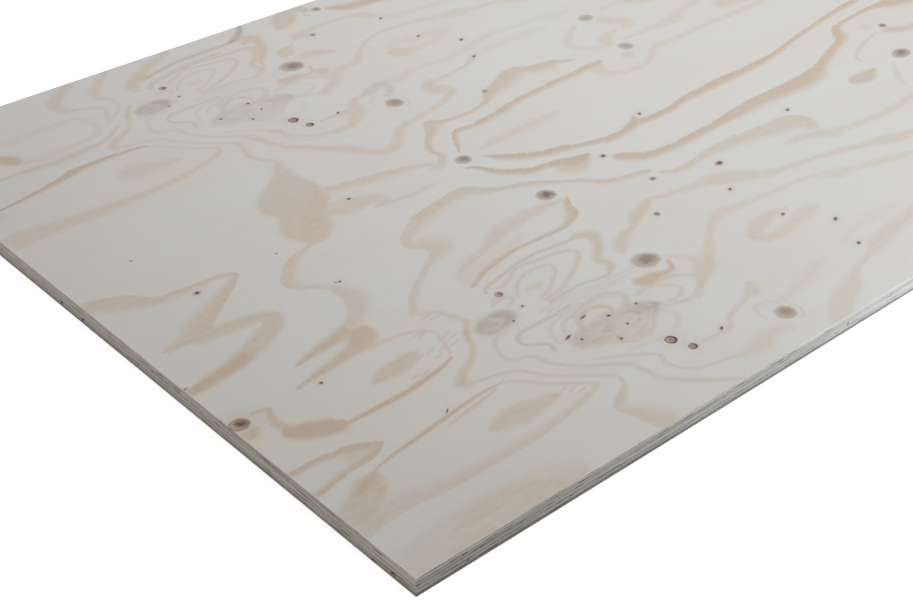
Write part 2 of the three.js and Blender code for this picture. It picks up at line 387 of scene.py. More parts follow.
# Stripes that lead away from the first whorl, along the sheet.
LEAD_STRIPES = (
    peach(0.35, (541, 36, 4), (562, 31, 14), (583, 33, 20), (601, 42, 16), (626, 39, 12), (640, 30, 9)),
    peach(0.35, (643, 248, 7), (656, 233, 8), (663, 218, 10), (674, 208, 16), (689, 214, 16), (707, 227, 12),
          (741, 254, 9), (780, 272, 16), (804, 269, 12), (874, 261, 8), (930, 256, 7), (960, 249, 8),
          (982, 237, 16), (1005, 231, 15), (1030, 224, 10), (1090, 208, 12), (1130, 198, 6)),
    peach(0.5, (622, 166, 6), (636, 178, 12), (650, 188, 20), (664, 196, 23), (680, 205, 14), (692, 210, 6)),
    peach(0.4, (598, 151, 5), (617, 160, 5), (634, 174, 5)),
    peach(0.54, (603, 289, 6), (614, 301, 14), (626, 312, 14), (644, 320, 10), (664, 326, 7), (677, 336, 11),
          (692, 345, 17), (707, 350, 14), (725, 357, 10), (738, 366, 8)),
    peach(0.45, (736, 362, 7), (759, 354, 8), (783, 350, 9), (814, 344, 12), (844, 338, 26), (865, 329, 30),
          (898, 311, 20), (911, 301, 14), (960, 290, 9), (1000, 284, 8), (1040, 275, 10), (1090, 260, 12),
          (1112, 253, 14), (1130, 247, 20), (1150, 241, 20), (1182, 237, 8), (1215, 236, 4)),
    peach(0.45, (806, 184, 6), (778, 186, 13), (768, 197, 16), (780, 209, 20), (804, 217, 18), (832, 222, 11),
          (861, 221, 3)),
    peach(0.35, (770, 184, 10), (800, 183, 13), (838, 188, 16), (865, 194, 22), (885, 197, 16), (903, 194, 4)),
    peach(0.4, (529, 84, 6), (571, 80, 6), (586, 87, 6), (598, 98, 6), (644, 111, 7), (668, 119, 16),
          (676, 137, 5)),
    peach(0.26, (662, 75, 10), (723, 87, 12), (774, 99, 12), (797, 103, 8)),
    peach(0.36, (684, -8, 26), (706, 8, 25), (729, 24, 28), (747, 33, 26), (768, 39, 22), (807, 60, 9), (832, 66, 7),
          (853, 72, 9), (868, 78, 16), (889, 84, 20), (930, 91, 18), (985, 98, 14), (1040, 110, 8),
          (1090, 118, 3)),
    peach(0.2, (841, 105, 7), (859, 118, 8), (898, 127, 8), (940, 127, 9), (980, 124, 6)),
    peach(0.9, (644, 610, 4), (653, 601, 8), (662, 591, 14), (686, 573, 18), (720, 556, 16), (756, 547, 16),
          (771, 539, 11), (792, 533, 12), (825, 524, 16), (856, 526, 14), (889, 533, 16), (904, 529, 14),
          (960, 529, 12), (1000, 537, 14), (1090, 541, 18), (1150, 541, 16), (1210, 545, 12), (1265, 554, 10),
          (1320, 566, 9), (1380, 577, 9), (1430, 585, 10), (1490, 592, 12), (1560, 600, 9), (1640, 612, 4),
          crisp=Crisp.LEFT),
    peach(1.0, (889, 534, 12), (898, 545, 7), (900, 551, 2)),
    peach(0.95, (601, 598, 5), (614, 591, 8), (629, 564, 14), (638, 553, 16), (650, 544, 16), (665, 533, 16),
          (683, 529, 12), (701, 526, 15), (717, 517, 26), (732, 508, 32), (750, 508, 22), (767, 511, 4),
          crisp=Crisp.LEFT),
    peach(0.5, (698, 512, 12), (713, 501, 24), (728, 496, 26), (744, 501, 16), (760, 505, 4)),
    peach(0.88, (784, 482, 9), (798, 471, 22), (814, 460, 24), (829, 451, 19), (874, 445, 15), (930, 447, 15),
          (990, 450, 17), (1020, 452, 22), (1080, 455, 28), (1140, 453, 30), (1200, 453, 35), (1230, 460, 30),
          (1255, 470, 19), (1305, 490, 15), (1350, 505, 15), (1365, 513, 19), (1375, 525, 22), (1385, 537, 17),
          (1400, 547, 11), (1450, 554, 8), (1505, 556, 11), (1530, 552, 24), (1552, 545, 28), (1580, 533, 19),
          (1620, 522, 9), (1660, 516, 3), crisp=Crisp.LEFT),
    peach(0.62, (450, 535, 18), (495, 545, 18), (544, 551, 22), (562, 550, 21), (574, 538, 20), (586, 529, 16),
          (604, 520, 10), (638, 507, 13), (656, 495, 11), (689, 471, 9), (704, 462, 11), (726, 438, 13),
          (747, 430, 11), (786, 420, 11), (800, 417, 4), crisp=Crisp.LEFT),
    peach(0.55, (802, 405, 5), (817, 395, 10), (838, 391, 12), (880, 395, 12), (904, 398, 16), (940, 396, 22),
          (970, 393, 28), (1000, 388, 32), (1030, 382, 38), (1056, 377, 48), (1076, 366, 50), (1080, 350, 32),
          (1082, 338, 14), crisp=Crisp.LEFT),
    peach(0.4, (1005, 338, 7), (1040, 335, 14), (1070, 325, 23), (1085, 315, 21), (1110, 312, 12),
          (1140, 306, 10), (1200, 302, 10), (1265, 306, 9), (1330, 318, 7), (1380, 330, 3)),
    peach(0.75, (1240, 398, 6), (1255, 398, 20), (1272, 397, 26), (1288, 398, 20), (1314, 406, 4)),
    mauve(0.48, (1430, 487, 3), (1380, 475, 5), (1345, 462, 4), (1322, 446, 4), (1319, 432, 4)),
    mauve(0.35, (1355, 400, 3), (1328, 372, 8), (1313, 358, 8), (1303, 338, 6)),
    peach(0.6, (1440, 486, 10), (1460, 475, 16), (1478, 465, 13), (1500, 464, 9), (1530, 470, 6), (1560, 468, 3)),
    mauve(0.35, (1422, 512, 8), (1434, 512, 18), (1446, 511, 8)),
)

# Stripes past the second turn of the first whorl, and round the second whorl.
UPPER_STRIPES = (
    mauve(0.85, (404, 1150, 7), (448, 1162, 7), (480, 1170, 6), (530, 1172, 7), (575, 1172, 6), (595, 1175, 8)),
    taupe(0.72, (592, 1174, 8), (610, 1182, 10), (622, 1193, 9), (632, 1205, 8), (644, 1222, 6)),
    mauve(0.55, (397, 1114), (409, 1129), (454, 1144), (505, 1152), (560, 1153), width=5),
    peach(0.6, (603, 1152, 5), (614, 1161, 12), (627, 1166, 20), (631, 1152, 16), (625, 1135, 12),
          (615, 1114, 11), (598, 1093, 8), (586, 1078, 5), (584, 1064, 3)),
    peach(0.55, (684, 1160, 10), (700, 1176, 30), (714, 1190, 38), (728, 1206, 34), (740, 1224, 32)),
    peach(0.85, (793, 1178, 6), (810, 1171, 14), (825, 1161, 20), (850, 1157, 20), (880, 1154, 22),
          (915, 1146, 16), (960, 1140, 10), (1010, 1138, 5)),
    peach(0.7, (748, 1212, 10), (763, 1203, 18), (758, 1190, 10)),
    mauve(0.4, (762, 1200, 4), (752, 1185, 4), (755, 1168, 3)),
    peach(0.4, (676, 1116, 6), (692, 1120, 16), (708, 1122, 15), (730, 1128, 9), (765, 1130, 9),
          (805, 1125, 10), (822, 1118, 18), (831, 1106, 22), (838, 1092, 8)),
    peach(0.25, (838, 1085, 10), (860, 1080, 17), (900, 1073, 8), (960, 1067, 10), (1020, 1060, 6)),
    peach(0.5, (622, 1070, 6), (635, 1080, 24), (648, 1090, 18), (656, 1097, 5)),
    mauve(0.4, (655, 1094, 3), (670, 1104, 3), (684, 1114, 3)),
    peach(0.42, (640, 1051, 8), (662, 1052, 18), (680, 1047, 16), (704, 1031, 6)),
    peach(0.35, (586, 928, 7), (600, 925, 13), (614, 931, 13), (628, 940, 15), (640, 951, 15), (650, 964, 13),
          (662, 973, 12), (700, 978, 13), (715, 987, 10), (730, 1003, 8), (760, 1025, 6), (800, 1040, 7),
          (850, 1038, 8), (885, 1034, 13), (925, 1023, 13), (955, 1016, 20), (985, 1010, 11), (1030, 1003, 9),
          (1062, 990, 18), (1095, 978, 11), (1130, 972, 4)),
    peach(0.56, (634, 1000, 6), (640, 988, 20), (648, 976, 16)),
    peach(0.4, (768, 974, 12), (774, 962, 25), (790, 956, 25), (806, 955, 9)),
    peach(0.24, (770, 982, 10), (800, 990, 14), (850, 984, 14), (890, 976, 12), (880, 966, 12), (840, 956, 12),
          (800, 952, 10)),
    mauve(0.35, (1068, 842, 6), (1035, 822, 10), (1014, 806, 13), (1008, 787, 11), (1018, 766, 11), (1042, 756, 11)),
    peach(0.4, (1040, 757, 8), (1056, 752, 10), (1061, 764, 20), (1074, 773, 15), (1110, 787, 4)),
    peach(0.36, (1112, 838, 8), (1120, 828, 22), (1131, 813, 28), (1141, 800, 28), (1138, 788, 22), (1124, 774, 8)),
    peach(0.33, (1092, 750, 6), (1150, 750, 10), (1205, 750, 19), (1230, 757, 19), (1262, 768, 13),
          (1300, 776, 10), (1360, 790, 6)),
    peach(0.4, (1306, 740, 10), (1335, 738, 26), (1362, 726, 18), (1400, 718, 6)),
    mauve(0.3, (1148, 862, 8), (1190, 861, 8), (1206, 860, 12)),
    peach(0.4, (1196, 864, 10), (1212, 853, 20), (1232, 840, 18), (1270, 832, 10), (1330, 830, 4)),
    mauve(0.45, (1040, 705, 8), (1052, 704, 20), (1064, 704, 8)),
)

# Knots and pins of the first whorl, which return a turn later.
WHORL_KNOTS = (
    Knot(KnotKind.SWIRL, (367, 281), (32, 18), 4),
    Knot(KnotKind.LOOSE, (505, 112), (8.5, 8)),
    Knot(KnotKind.LOOSE, (515, 85), (6.5, 6)),
    Knot(KnotKind.SOUND, (615, 257), (22, 17.5), -6),
    Knot(KnotKind.GREY, (657, 57), (15, 14.5)),
    Knot(KnotKind.RED_PIN, (415, 325), (6.5, 6)),
    Knot(KnotKind.PIN, (419, 286), (3, 2.5)),
    Knot(KnotKind.PIN, (388, 269), (2.5, 2)),
    Knot(KnotKind.PIN, (424, 185), (3, 2.5)),
    Knot(KnotKind.PIN, (485, 199), (3.5, 3.2)),
    Knot(KnotKind.PIN, (461, 154), (3, 3)),
    Knot(KnotKind.PIN, (490, 171), (2.6, 2.6)),
    Knot(KnotKind.PIN, (570, 87), (5, 2.6), 35),
    Knot(KnotKind.PALE_PIN, (713, 327), (6.5, 5.5), 20),
    Knot(KnotKind.PIN, (841, 305), (5, 3), 35),
    Knot(KnotKind.PIN, (843, 212), (5, 3.4), 25),
    Knot(KnotKind.PIN, (860, 97), (5, 3.4), 25),
    Knot(KnotKind.PIN, (887, 156), (6, 3.6), 30),
)

# Knots and pins that the first whorl doesn't bring back.
OTHER_KNOTS = (
    Knot(KnotKind.DARK, (12, 325), (13.5, 11.5)),
    Knot(KnotKind.FAINT_PIN, (3, 422), (5, 2), 20),
    Knot(KnotKind.FAINT_PIN, (106, 704), (3, 2)),
    Knot(KnotKind.PIN, (128, 583), (5.5, 4.5)),
    Knot(KnotKind.PIN, (130, 326), (3.5, 3)),
    Knot(KnotKind.PIN, (206, 187), (5.5, 1.3), 36),
    Knot(KnotKind.FAINT_PIN, (260, 592), (3, 2.4)),
    Knot(KnotKind.PIN, (281, 483), (3, 2.6)),
    Knot(KnotKind.FAINT_PIN, (276, 485), (2.4, 2)),
    Knot(KnotKind.PIN, (414, 199), (8, 2.8), 20),
    Knot(KnotKind.PIN, (421, 641), (4, 3.6)),
    Knot(KnotKind.PIN, (459, 218), (7, 2.4), 8),
    Knot(KnotKind.PIN, (531, 195), (2.8, 2.6)),
    Knot(KnotKind.SOUND, (616, 619), (14, 12.5)),
    Knot(KnotKind.DEEP, (635, 466), (15.5, 14)),
    Knot(KnotKind.DEEP_PIN, (776, 492), (5.5, 4.5)),
    Knot(KnotKind.PALE_PIN, (781, 398), (6.5, 5.5)),
    Knot(KnotKind.FADED, (788, 762), (7.5, 5.5), 40),
    Knot(KnotKind.DEEP_PIN, (887, 365), (8, 5.5), 10),
    Knot(KnotKind.PIN, (914, 548), (5, 3.4), 35),
    Knot(KnotKind.PIN, (1094, 406), (5.5, 3.6), 20),
    Knot(KnotKind.FADED, (1075, 729), (14, 13), -30),
    Knot(KnotKind.FADED, (1105, 852), (15, 12)),
    Knot(KnotKind.SOUND, (1393, 411), (21, 14), 10),
    Knot(KnotKind.PALE_PIN, (1459, 497), (9, 8)),
    Knot(KnotKind.GREY, (781, 1187), (9, 9)),
)


@dataclass(frozen=True)
class Region:
    """The part of a veneer past a line across it that has one kink, in millimetres.

    Attributes:
        kink: Where the line's kink is.
        slope: How far towards -X the line is for each millimetre away from the kink.
        across: The region's lower and upper limit across the sheet.
        before: Whether the region is on the line's -X side.
    """

    kink: Point
    slope: float = 1.0
    across: tuple[float, float] = (-math.inf, math.inf)
    before: bool = False

    def holds(self, point: Point) -> bool:
        """Returns whether a point lies in the region."""
        line = self.kink[0] - self.slope * abs(point[1] - self.kink[1])
        past = point[0] < line if self.before else point[0] > line
        return past and self.across[0] < point[1] < self.across[1]


@dataclass(frozen=True)
class Figure:
    """The figure of one veneer.

    Attributes:
        stripes: Its latewood.
        knots: Its knots and pins.
    """

    stripes: tuple[Stripe, ...]
    knots: tuple[Knot, ...]

    def placed(self, placement: Placement) -> "Figure":
        """Returns the whole figure after a placement."""
        return Figure(
            tuple(stripe.placed(placement) for stripe in self.stripes),
            tuple(knot.placed(placement) for knot in self.knots),
        )

    def faded(self, share: float) -> "Figure":
        """Returns the figure with that share of its stripes' strength."""
        return Figure(tuple(replace(stripe, strength=stripe.strength * share) for stripe in self.stripes), self.knots)

    def coarser(self, times: float) -> "Figure":
        """Returns the figure without its pins, for a mesh that may be that many times coarser."""
        least = 4 * times
        knots = tuple(knot for knot in self.knots if min(knot.radii) > least)
        return Figure(tuple(replace(stripe, coarse=times) for stripe in self.stripes), knots)

    def within(self, region: Region) -> "Figure":
        """Keeps what lies in a region.

        Args:
            region: The region.

        Returns:
            The figure of each stripe's longest run of points in the region, and of the knots there.
        """
        stripes = []
        for stripe in self.stripes:
            runs = [tuple(run) for inside, run in groupby(stripe.line, region.holds) if inside]
            longest = max(runs, key=len, default=())
            if len(longest) > 1:
                stripes.append(replace(stripe, line=longest))
        return Figure(tuple(stripes), tuple(knot for knot in self.knots if region.holds(knot.centre)))

    def __add__(self, other: "Figure") -> "Figure":
        """Returns both figures on one veneer."""
        return Figure(self.stripes + other.stripes, self.knots + other.knots)


FIRST_WHORL = Figure(WHORL_STRIPES, WHORL_KNOTS)


def face_figure() -> Figure:
    """Returns the figure of the face veneer.

    The first whorl and its next turn fill the half towards -X. The same log, met the other way
    round and a little further on, fills the half towards +X.
    """
    next_whorl = FIRST_WHORL.placed(NEXT_TURN)
    near = Figure(END_STRIPES + SWEEP_STRIPES + LEAD_STRIPES + UPPER_STRIPES + TORN_GRAIN, OTHER_KNOTS)
    near += FIRST_WHORL + next_whorl.faded(0.72)
    other_way = Placement(along=(-1.0, 2505.0), across=(1.0, 190.0))
    log = Figure(END_STRIPES + SWEEP_STRIPES + LEAD_STRIPES, OTHER_KNOTS) + FIRST_WHORL + next_whorl
    far = log.placed(other_way).within(Region((1690, 520), 1.2, across=(175, math.inf)))
    earlier = near.placed(EARLIER_TURN).placed(other_way).within(Region((1340, 190), across=(-math.inf, 190)))
    return near + (far + earlier).coarser(FAR_CELLS)


def back_figure() -> Figure:
    """Returns the figure of the back veneer: the same log's, met higher up and the other way round."""
    turned = Placement(along=(-1.0, 2360.0), across=(1.0, -395.0))
    later = Placement(along=(-1.0, 2360.0), across=(1.045, 370.0))
    onward = Placement(along=(1.0, 60.0), across=(1.0, 210.0))
    log = Figure(
        END_STRIPES + SWEEP_STRIPES + LEAD_STRIPES + UPPER_STRIPES + WHORL_STRIPES, OTHER_KNOTS + WHORL_KNOTS
    )
    end = log.placed(onward).within(Region((950, 550), across=(195, math.inf), before=True))
    earlier = log.placed(EARLIER_TURN).placed(onward)
    earlier = earlier.within(Region((610, 210), across=(-math.inf, 210), before=True))
    return log.placed(turned) + (log.placed(later) + end + earlier).coarser(FAR_CELLS)


# ------------------------------------------------------------------------------------------------
# Reading the figure at points of the sheet
# ------------------------------------------------------------------------------------------------


def smooth_step(low: float, high: float, value: np.ndarray) -> np.ndarray:
    """Returns 0 below low, 1 above high and a smooth rise between them."""
    share = np.clip((value - low) / (high - low), 0.0, 1.0)
    return share * share * (3.0 - 2.0 * share)


@dataclass(frozen=True)
class FigureReader:
    """Works out the figure's attributes at points of the sheet.

    Attributes:
        figure: The figure to read.
        step: How far apart a stripe's line is sampled.
        spread: The share of its drawn width by which a narrow stripe's colour bleeds out at each side.
        most_spread: How far a wide stripe's colour bleeds out.
        edge: How far a narrow stripe takes to fade.
        most_edge: How far a wide stripe takes to fade.
        overrun: How far a sharp stripe's colour runs on past the side where it is cut.
        crowding: How much more than the strongest of them several tints can colour one place.
        reach: How many of its own radii a knot bends the grain over.
        halo_reach: How many of its own radii a knot's halo takes to fade.
        bend: How much of its own distance from the knot the nearest grain is pushed aside.
        bend_reach: How many of its own radii that push takes to fade.
    """

    figure: Figure
    step: float = 3.0
    spread: float = 0.19
    most_spread: float = 2.6
    edge: float = 0.9
    most_edge: float = 7.0
    overrun: float = 11.0
    crowding: float = 1.15
    reach: float = 3.2
    halo_reach: float = 2.2
    bend: float = 0.8
    bend_reach: float = 1.5

    def run(self, stripe: Stripe) -> np.ndarray:
        """Returns samples of a stripe's smooth line, each as along, across and width."""
        points = np.array(stripe.line, float)
        padded = np.vstack([2 * points[0] - points[1], points, 2 * points[-1] - points[-2]])
        rows = []
        for before, start, end, after in zip(padded, padded[1:], padded[2:], padded[3:]):
            count = max(2, math.ceil(np.hypot(*(end - start)[:2]) / self.step))
            t = np.linspace(0.0, 1.0, count, endpoint=False)[:, None]
            rows.append(
                0.5
                * (
                    2 * start
                    + (end - before) * t
                    + (2 * before - 5 * start + 4 * end - after) * t**2
                    + (3 * start - before - 3 * end + after) * t**3
                )
            )
        rows.append(points[-1:])
        samples = np.vstack(rows)
        samples[:, 2] = np.maximum(samples[:, 2], 1.0)
        return samples

    def offsets(self, run: np.ndarray, points: np.ndarray) -> tuple[np.ndarray, np.ndarray, np.ndarray]:
        """Measures points against a stripe's line.

        Args:
            run: The line's samples.
            points: Points near the stripe.

        Returns:
            The signed distance from the line, positive on its left, how far along the line the
            nearer end is, below 0 past that end, and the width there.
        """
        start, end = run[:-1, :2], run[1:, :2]
        step = end - start
        length = np.maximum(np.hypot(step[:, 0], step[:, 1]), TINY)
        unit = step / length[:, None]
        relative = points[:, None, :] - start[None, :, :]
        along = relative[:, :, 0] * unit[None, :, 0] + relative[:, :, 1] * unit[None, :, 1]
        side = relative[:, :, 1] * unit[None, :, 0] - relative[:, :, 0] * unit[None, :, 1]
        inside = np.clip(along, 0.0, length[None, :])
        past = along - inside
        nearest = np.argmin(side**2 + past**2, axis=1)
        row = np.arange(len(points))
        share = inside[row, nearest] / length[nearest]
        width = run[nearest, 2] * (1 - share) + run[nearest + 1, 2] * share
        sign = np.where(side[row, nearest] >= 0, 1.0, -1.0)
        distance = np.hypot(side[row, nearest], past[row, nearest])
        travelled = np.cumsum(length)[nearest] - length[nearest] + inside[row, nearest]
        at_end = np.minimum(travelled, length.sum() - travelled) - np.abs(past[row, nearest])
        return sign * distance, at_end, width

    def stripe_shade(self, stripe: Stripe, points: np.ndarray) -> tuple[np.ndarray, np.ndarray, np.ndarray]:
        """Shades points by one stripe.

        Args:
            stripe: The stripe.
            points: Points of the sheet.

        Returns:
            The indices of the points near it, how strongly it colours each, and how far inside its
            sharp side each lies. The colour runs on a little past that side, where it is to be cut.
        """
        run = self.run(stripe)
        near = self.near(run, points, run[:, 2].max() * 1.2 + self.overrun)
        if len(near) == 0:
            return near, np.zeros(0), np.zeros(0)
        offset, to_end, width = self.offsets(run, points[near])
        half = width / 2 + np.minimum(width * self.spread, self.most_spread)
        towards = offset * stripe.crisp.value
        inside = width / 2 - towards
        if stripe.crisp is Crisp.NEITHER:
            soft = np.minimum(0.6 * half + self.edge, self.most_edge)
            shade = 1 - smooth_step(-1.0, 1.0, (np.abs(offset) - half) / soft)
        else:
            # Away from its sharp side the stripe fades over more than its own half-width.
            fading = smooth_step(-1.7, -0.1, towards / half)
            shade = fading * smooth_step(-self.overrun, -0.47 * self.overrun, inside)
        ends = smooth_step(-0.6, 0.7, to_end / np.maximum(0.8 * half, 3.0))
        return near, stripe.strength * shade * ends, inside

    def near(self, run: np.ndarray, points: np.ndarray, margin: float) -> np.ndarray:
        """Returns the indices of the points in the run's box, grown by a margin."""
        low = run[:, :2].min(axis=0) - margin
        high = run[:, :2].max(axis=0) + margin
        return np.nonzero(np.all((points > low) & (points < high), axis=1))[0]

    def shades(self, points: np.ndarray) -> dict[str, np.ndarray]:
        """Reads the stripes at points.

        Args:
            points: Points of the sheet.

        Returns:
            For each tint how strongly it colours each point, then the same for stripes with a sharp
            side, whose shade is still to be cut where their own distance from that side is below 0.
        """
        shades = {tint.value: np.zeros(len(points)) for tint in Tint}
        cut_shade = np.zeros(len(points))
        cut_side = np.full(len(points), -self.overrun)
        rank = np.full(len(points), -1.0)
        for stripe in self.figure.stripes:
            near, shade, inside = self.stripe_shade(stripe, points)
            if stripe.crisp is Crisp.NEITHER:
                tinted = shades[stripe.tint.value]
                both = 1 - (1 - tinted[near]) * (1 - shade)
                tinted[near] = both if stripe.tint is Tint.TAUPE else np.maximum(tinted[near], shade)
                continue
            side = np.clip(inside, -self.overrun, self.overrun)
            own_rank = np.where(side > 0, shade, shade * (1 + side / self.overrun) + 0.02)
            better = (own_rank > rank[near]) & (inside < 4 * self.overrun)
            chosen = near[better]
            rank[chosen] = own_rank[better]
            cut_shade[chosen] = shade[better]
            cut_side[chosen] = side[better]
        peach_shade = shades[Tint.PEACH.value]
        for knot in self.figure.knots:
            if knot.kind.halo > 0:
                _, _, ring = self.knot_places(knot, points)
                np.maximum(peach_shade, knot.kind.halo * np.exp(-((ring / self.halo_reach) ** 2)), out=peach_shade)
        latewood = [np.maximum(peach_shade, cut_shade * (cut_side > 0))]
        latewood += [shades[tint.value] for tint in (Tint.MAUVE, Tint.OLIVE)]
        total, most = np.sum(latewood, axis=0), np.max(latewood, axis=0)
        shared = np.where(total > 0, np.minimum(1.0, self.crowding * most / np.maximum(total, TINY)), 1.0)
        for tint in (Tint.MAUVE, Tint.OLIVE, Tint.PEACH):
            shades[tint.value] *= shared
        return shades | {CUT_SHADE: cut_shade * shared, CUT_SIDE: cut_side}

    def knot_places(self, knot: Knot, points: np.ndarray) -> tuple[np.ndarray, np.ndarray, np.ndarray]:
        """Returns points in a knot's own terms: along it, across it and from it, in its radii."""
        turn = math.radians(knot.tilt)
        away = points - np.array(knot.centre)
        along = (away[:, 0] * math.cos(turn) + away[:, 1] * math.sin(turn)) / knot.radii[0]
        across = (away[:, 1] * math.cos(turn) - away[:, 0] * math.sin(turn)) / knot.radii[1]
        return along, across, np.hypot(along, across)

    def knots_at(self, points: np.ndarray) -> tuple[dict[str, np.ndarray], np.ndarray]:
        """Reads the knots at points.

        Args:
            points: Points of the sheet.

        Returns:
            The place in the nearest knot, the body, core and ring of that knot and its eye, by
            attribute, and how far the grain is pushed across the sheet, in millimetres.
        """
        place = np.zeros((len(points), 3))
        place[:, 2] = self.reach
        tone = np.zeros((len(points), 3))
        eye = np.zeros(len(points))
        push = np.zeros(len(points))
        for knot in self.figure.knots:
            near = self.near(np.array([[*knot.centre, 0.0]]), points, self.reach * max(knot.radii))
            along, across, ring = self.knot_places(knot, points[near])
            fading = np.exp(-((ring / self.bend_reach) ** 2))
            push[near] -= (points[near, 1] - knot.centre[1]) * self.bend * fading
            closer = ring < place[near, 2]
            place[near[closer]] = np.column_stack([along, across, ring])[closer]
            reached = near[closer & (ring < 2.0)]
            kind = knot.kind
            tone[reached] = (kind.body, kind.core, kind.ring)
            eye[reached] = kind.eye
        return {KNOT_PLACE: place, KNOT_TONE: tone, KNOT_EYE: eye}, push

    def wanted_cells(self, length: float, width: float, cell: float) -> np.ndarray:
        """Maps how fine the mesh has to be.

        Args:
            length: The sheet's length.
            width: The sheet's width.
            cell: The map's own cell.

        Returns:
            For each cell of the map, first along and then across, the mesh cell that it wants.
        """
        along = np.arange(cell / 2, length, cell)
        across = np.arange(cell / 2, width, cell)
        grid = np.stack(np.meshgrid(along, across, indexing="ij"), axis=-1).reshape(-1, 2)
        wanted = np.full(len(grid), math.inf)
        for stripe in self.figure.stripes:
            self.want_for_stripe(wanted, grid, cell, stripe)
        for knot in self.figure.knots:
            self.want_for_knot(wanted, grid, cell, knot)
        return wanted.reshape(len(along), len(across))

    def want_for_stripe(self, wanted: np.ndarray, grid: np.ndarray, cell: float, stripe: Stripe) -> None:
        """Asks for small cells where a stripe lies, and along its sharp side.

        Args:
            wanted: For each cell of the map the mesh cell that it wants, which is lowered here.
            grid: The middles of the map's cells.
            cell: The map's own cell.
            stripe: The stripe.
        """
        cut_margin = 6.0 + cell
        run = self.run(stripe)
        near = self.near(run, grid, run[:, 2].max() * 0.8 + cut_margin)
        if len(near) == 0:
            return
        offset, _, breadth = self.offsets(run, grid[near])
        covered = np.abs(offset) < breadth * 0.75 + cell
        if stripe.crisp is not Crisp.NEITHER:
            covered |= np.abs(offset * stripe.crisp.value - breadth * 0.6) < cut_margin
        if stripe.strength > 0.3:
            need = np.clip(0.55 * breadth, 2.6, 6.0)
        else:
            need = np.clip(breadth, 4.0, 8.2)
        wanted[near[covered]] = np.minimum(wanted[near[covered]], need[covered] * stripe.coarse)

    def want_for_knot(self, wanted: np.ndarray, grid: np.ndarray, cell: float, knot: Knot) -> None:
        """Asks for small cells in a knot, smaller ones in a pin and larger ones round both.

        Args:
            wanted: For each cell of the map the mesh cell that it wants, which is lowered here.
            grid: The middles of the map's cells.
            cell: The map's own cell.
            knot: The knot.
        """
        near = self.near(np.array([[*knot.centre, 0.0]]), grid, self.halo_reach * max(knot.radii) + cell)
        _, _, ring = self.knot_places(knot, grid[near])
        pin = min(knot.radii) < 9
        inner = near[ring < 1.1 + 0.7 * cell / min(knot.radii)]
        outer = near[ring < self.halo_reach]
        wanted[inner] = np.minimum(wanted[inner], 1.3 if pin else 2.6)
        wanted[outer] = np.minimum(wanted[outer], 5.2)


# ------------------------------------------------------------------------------------------------
# Finishes
# ------------------------------------------------------------------------------------------------

Socket = bpy.types.NodeSocket
Value = float | Socket


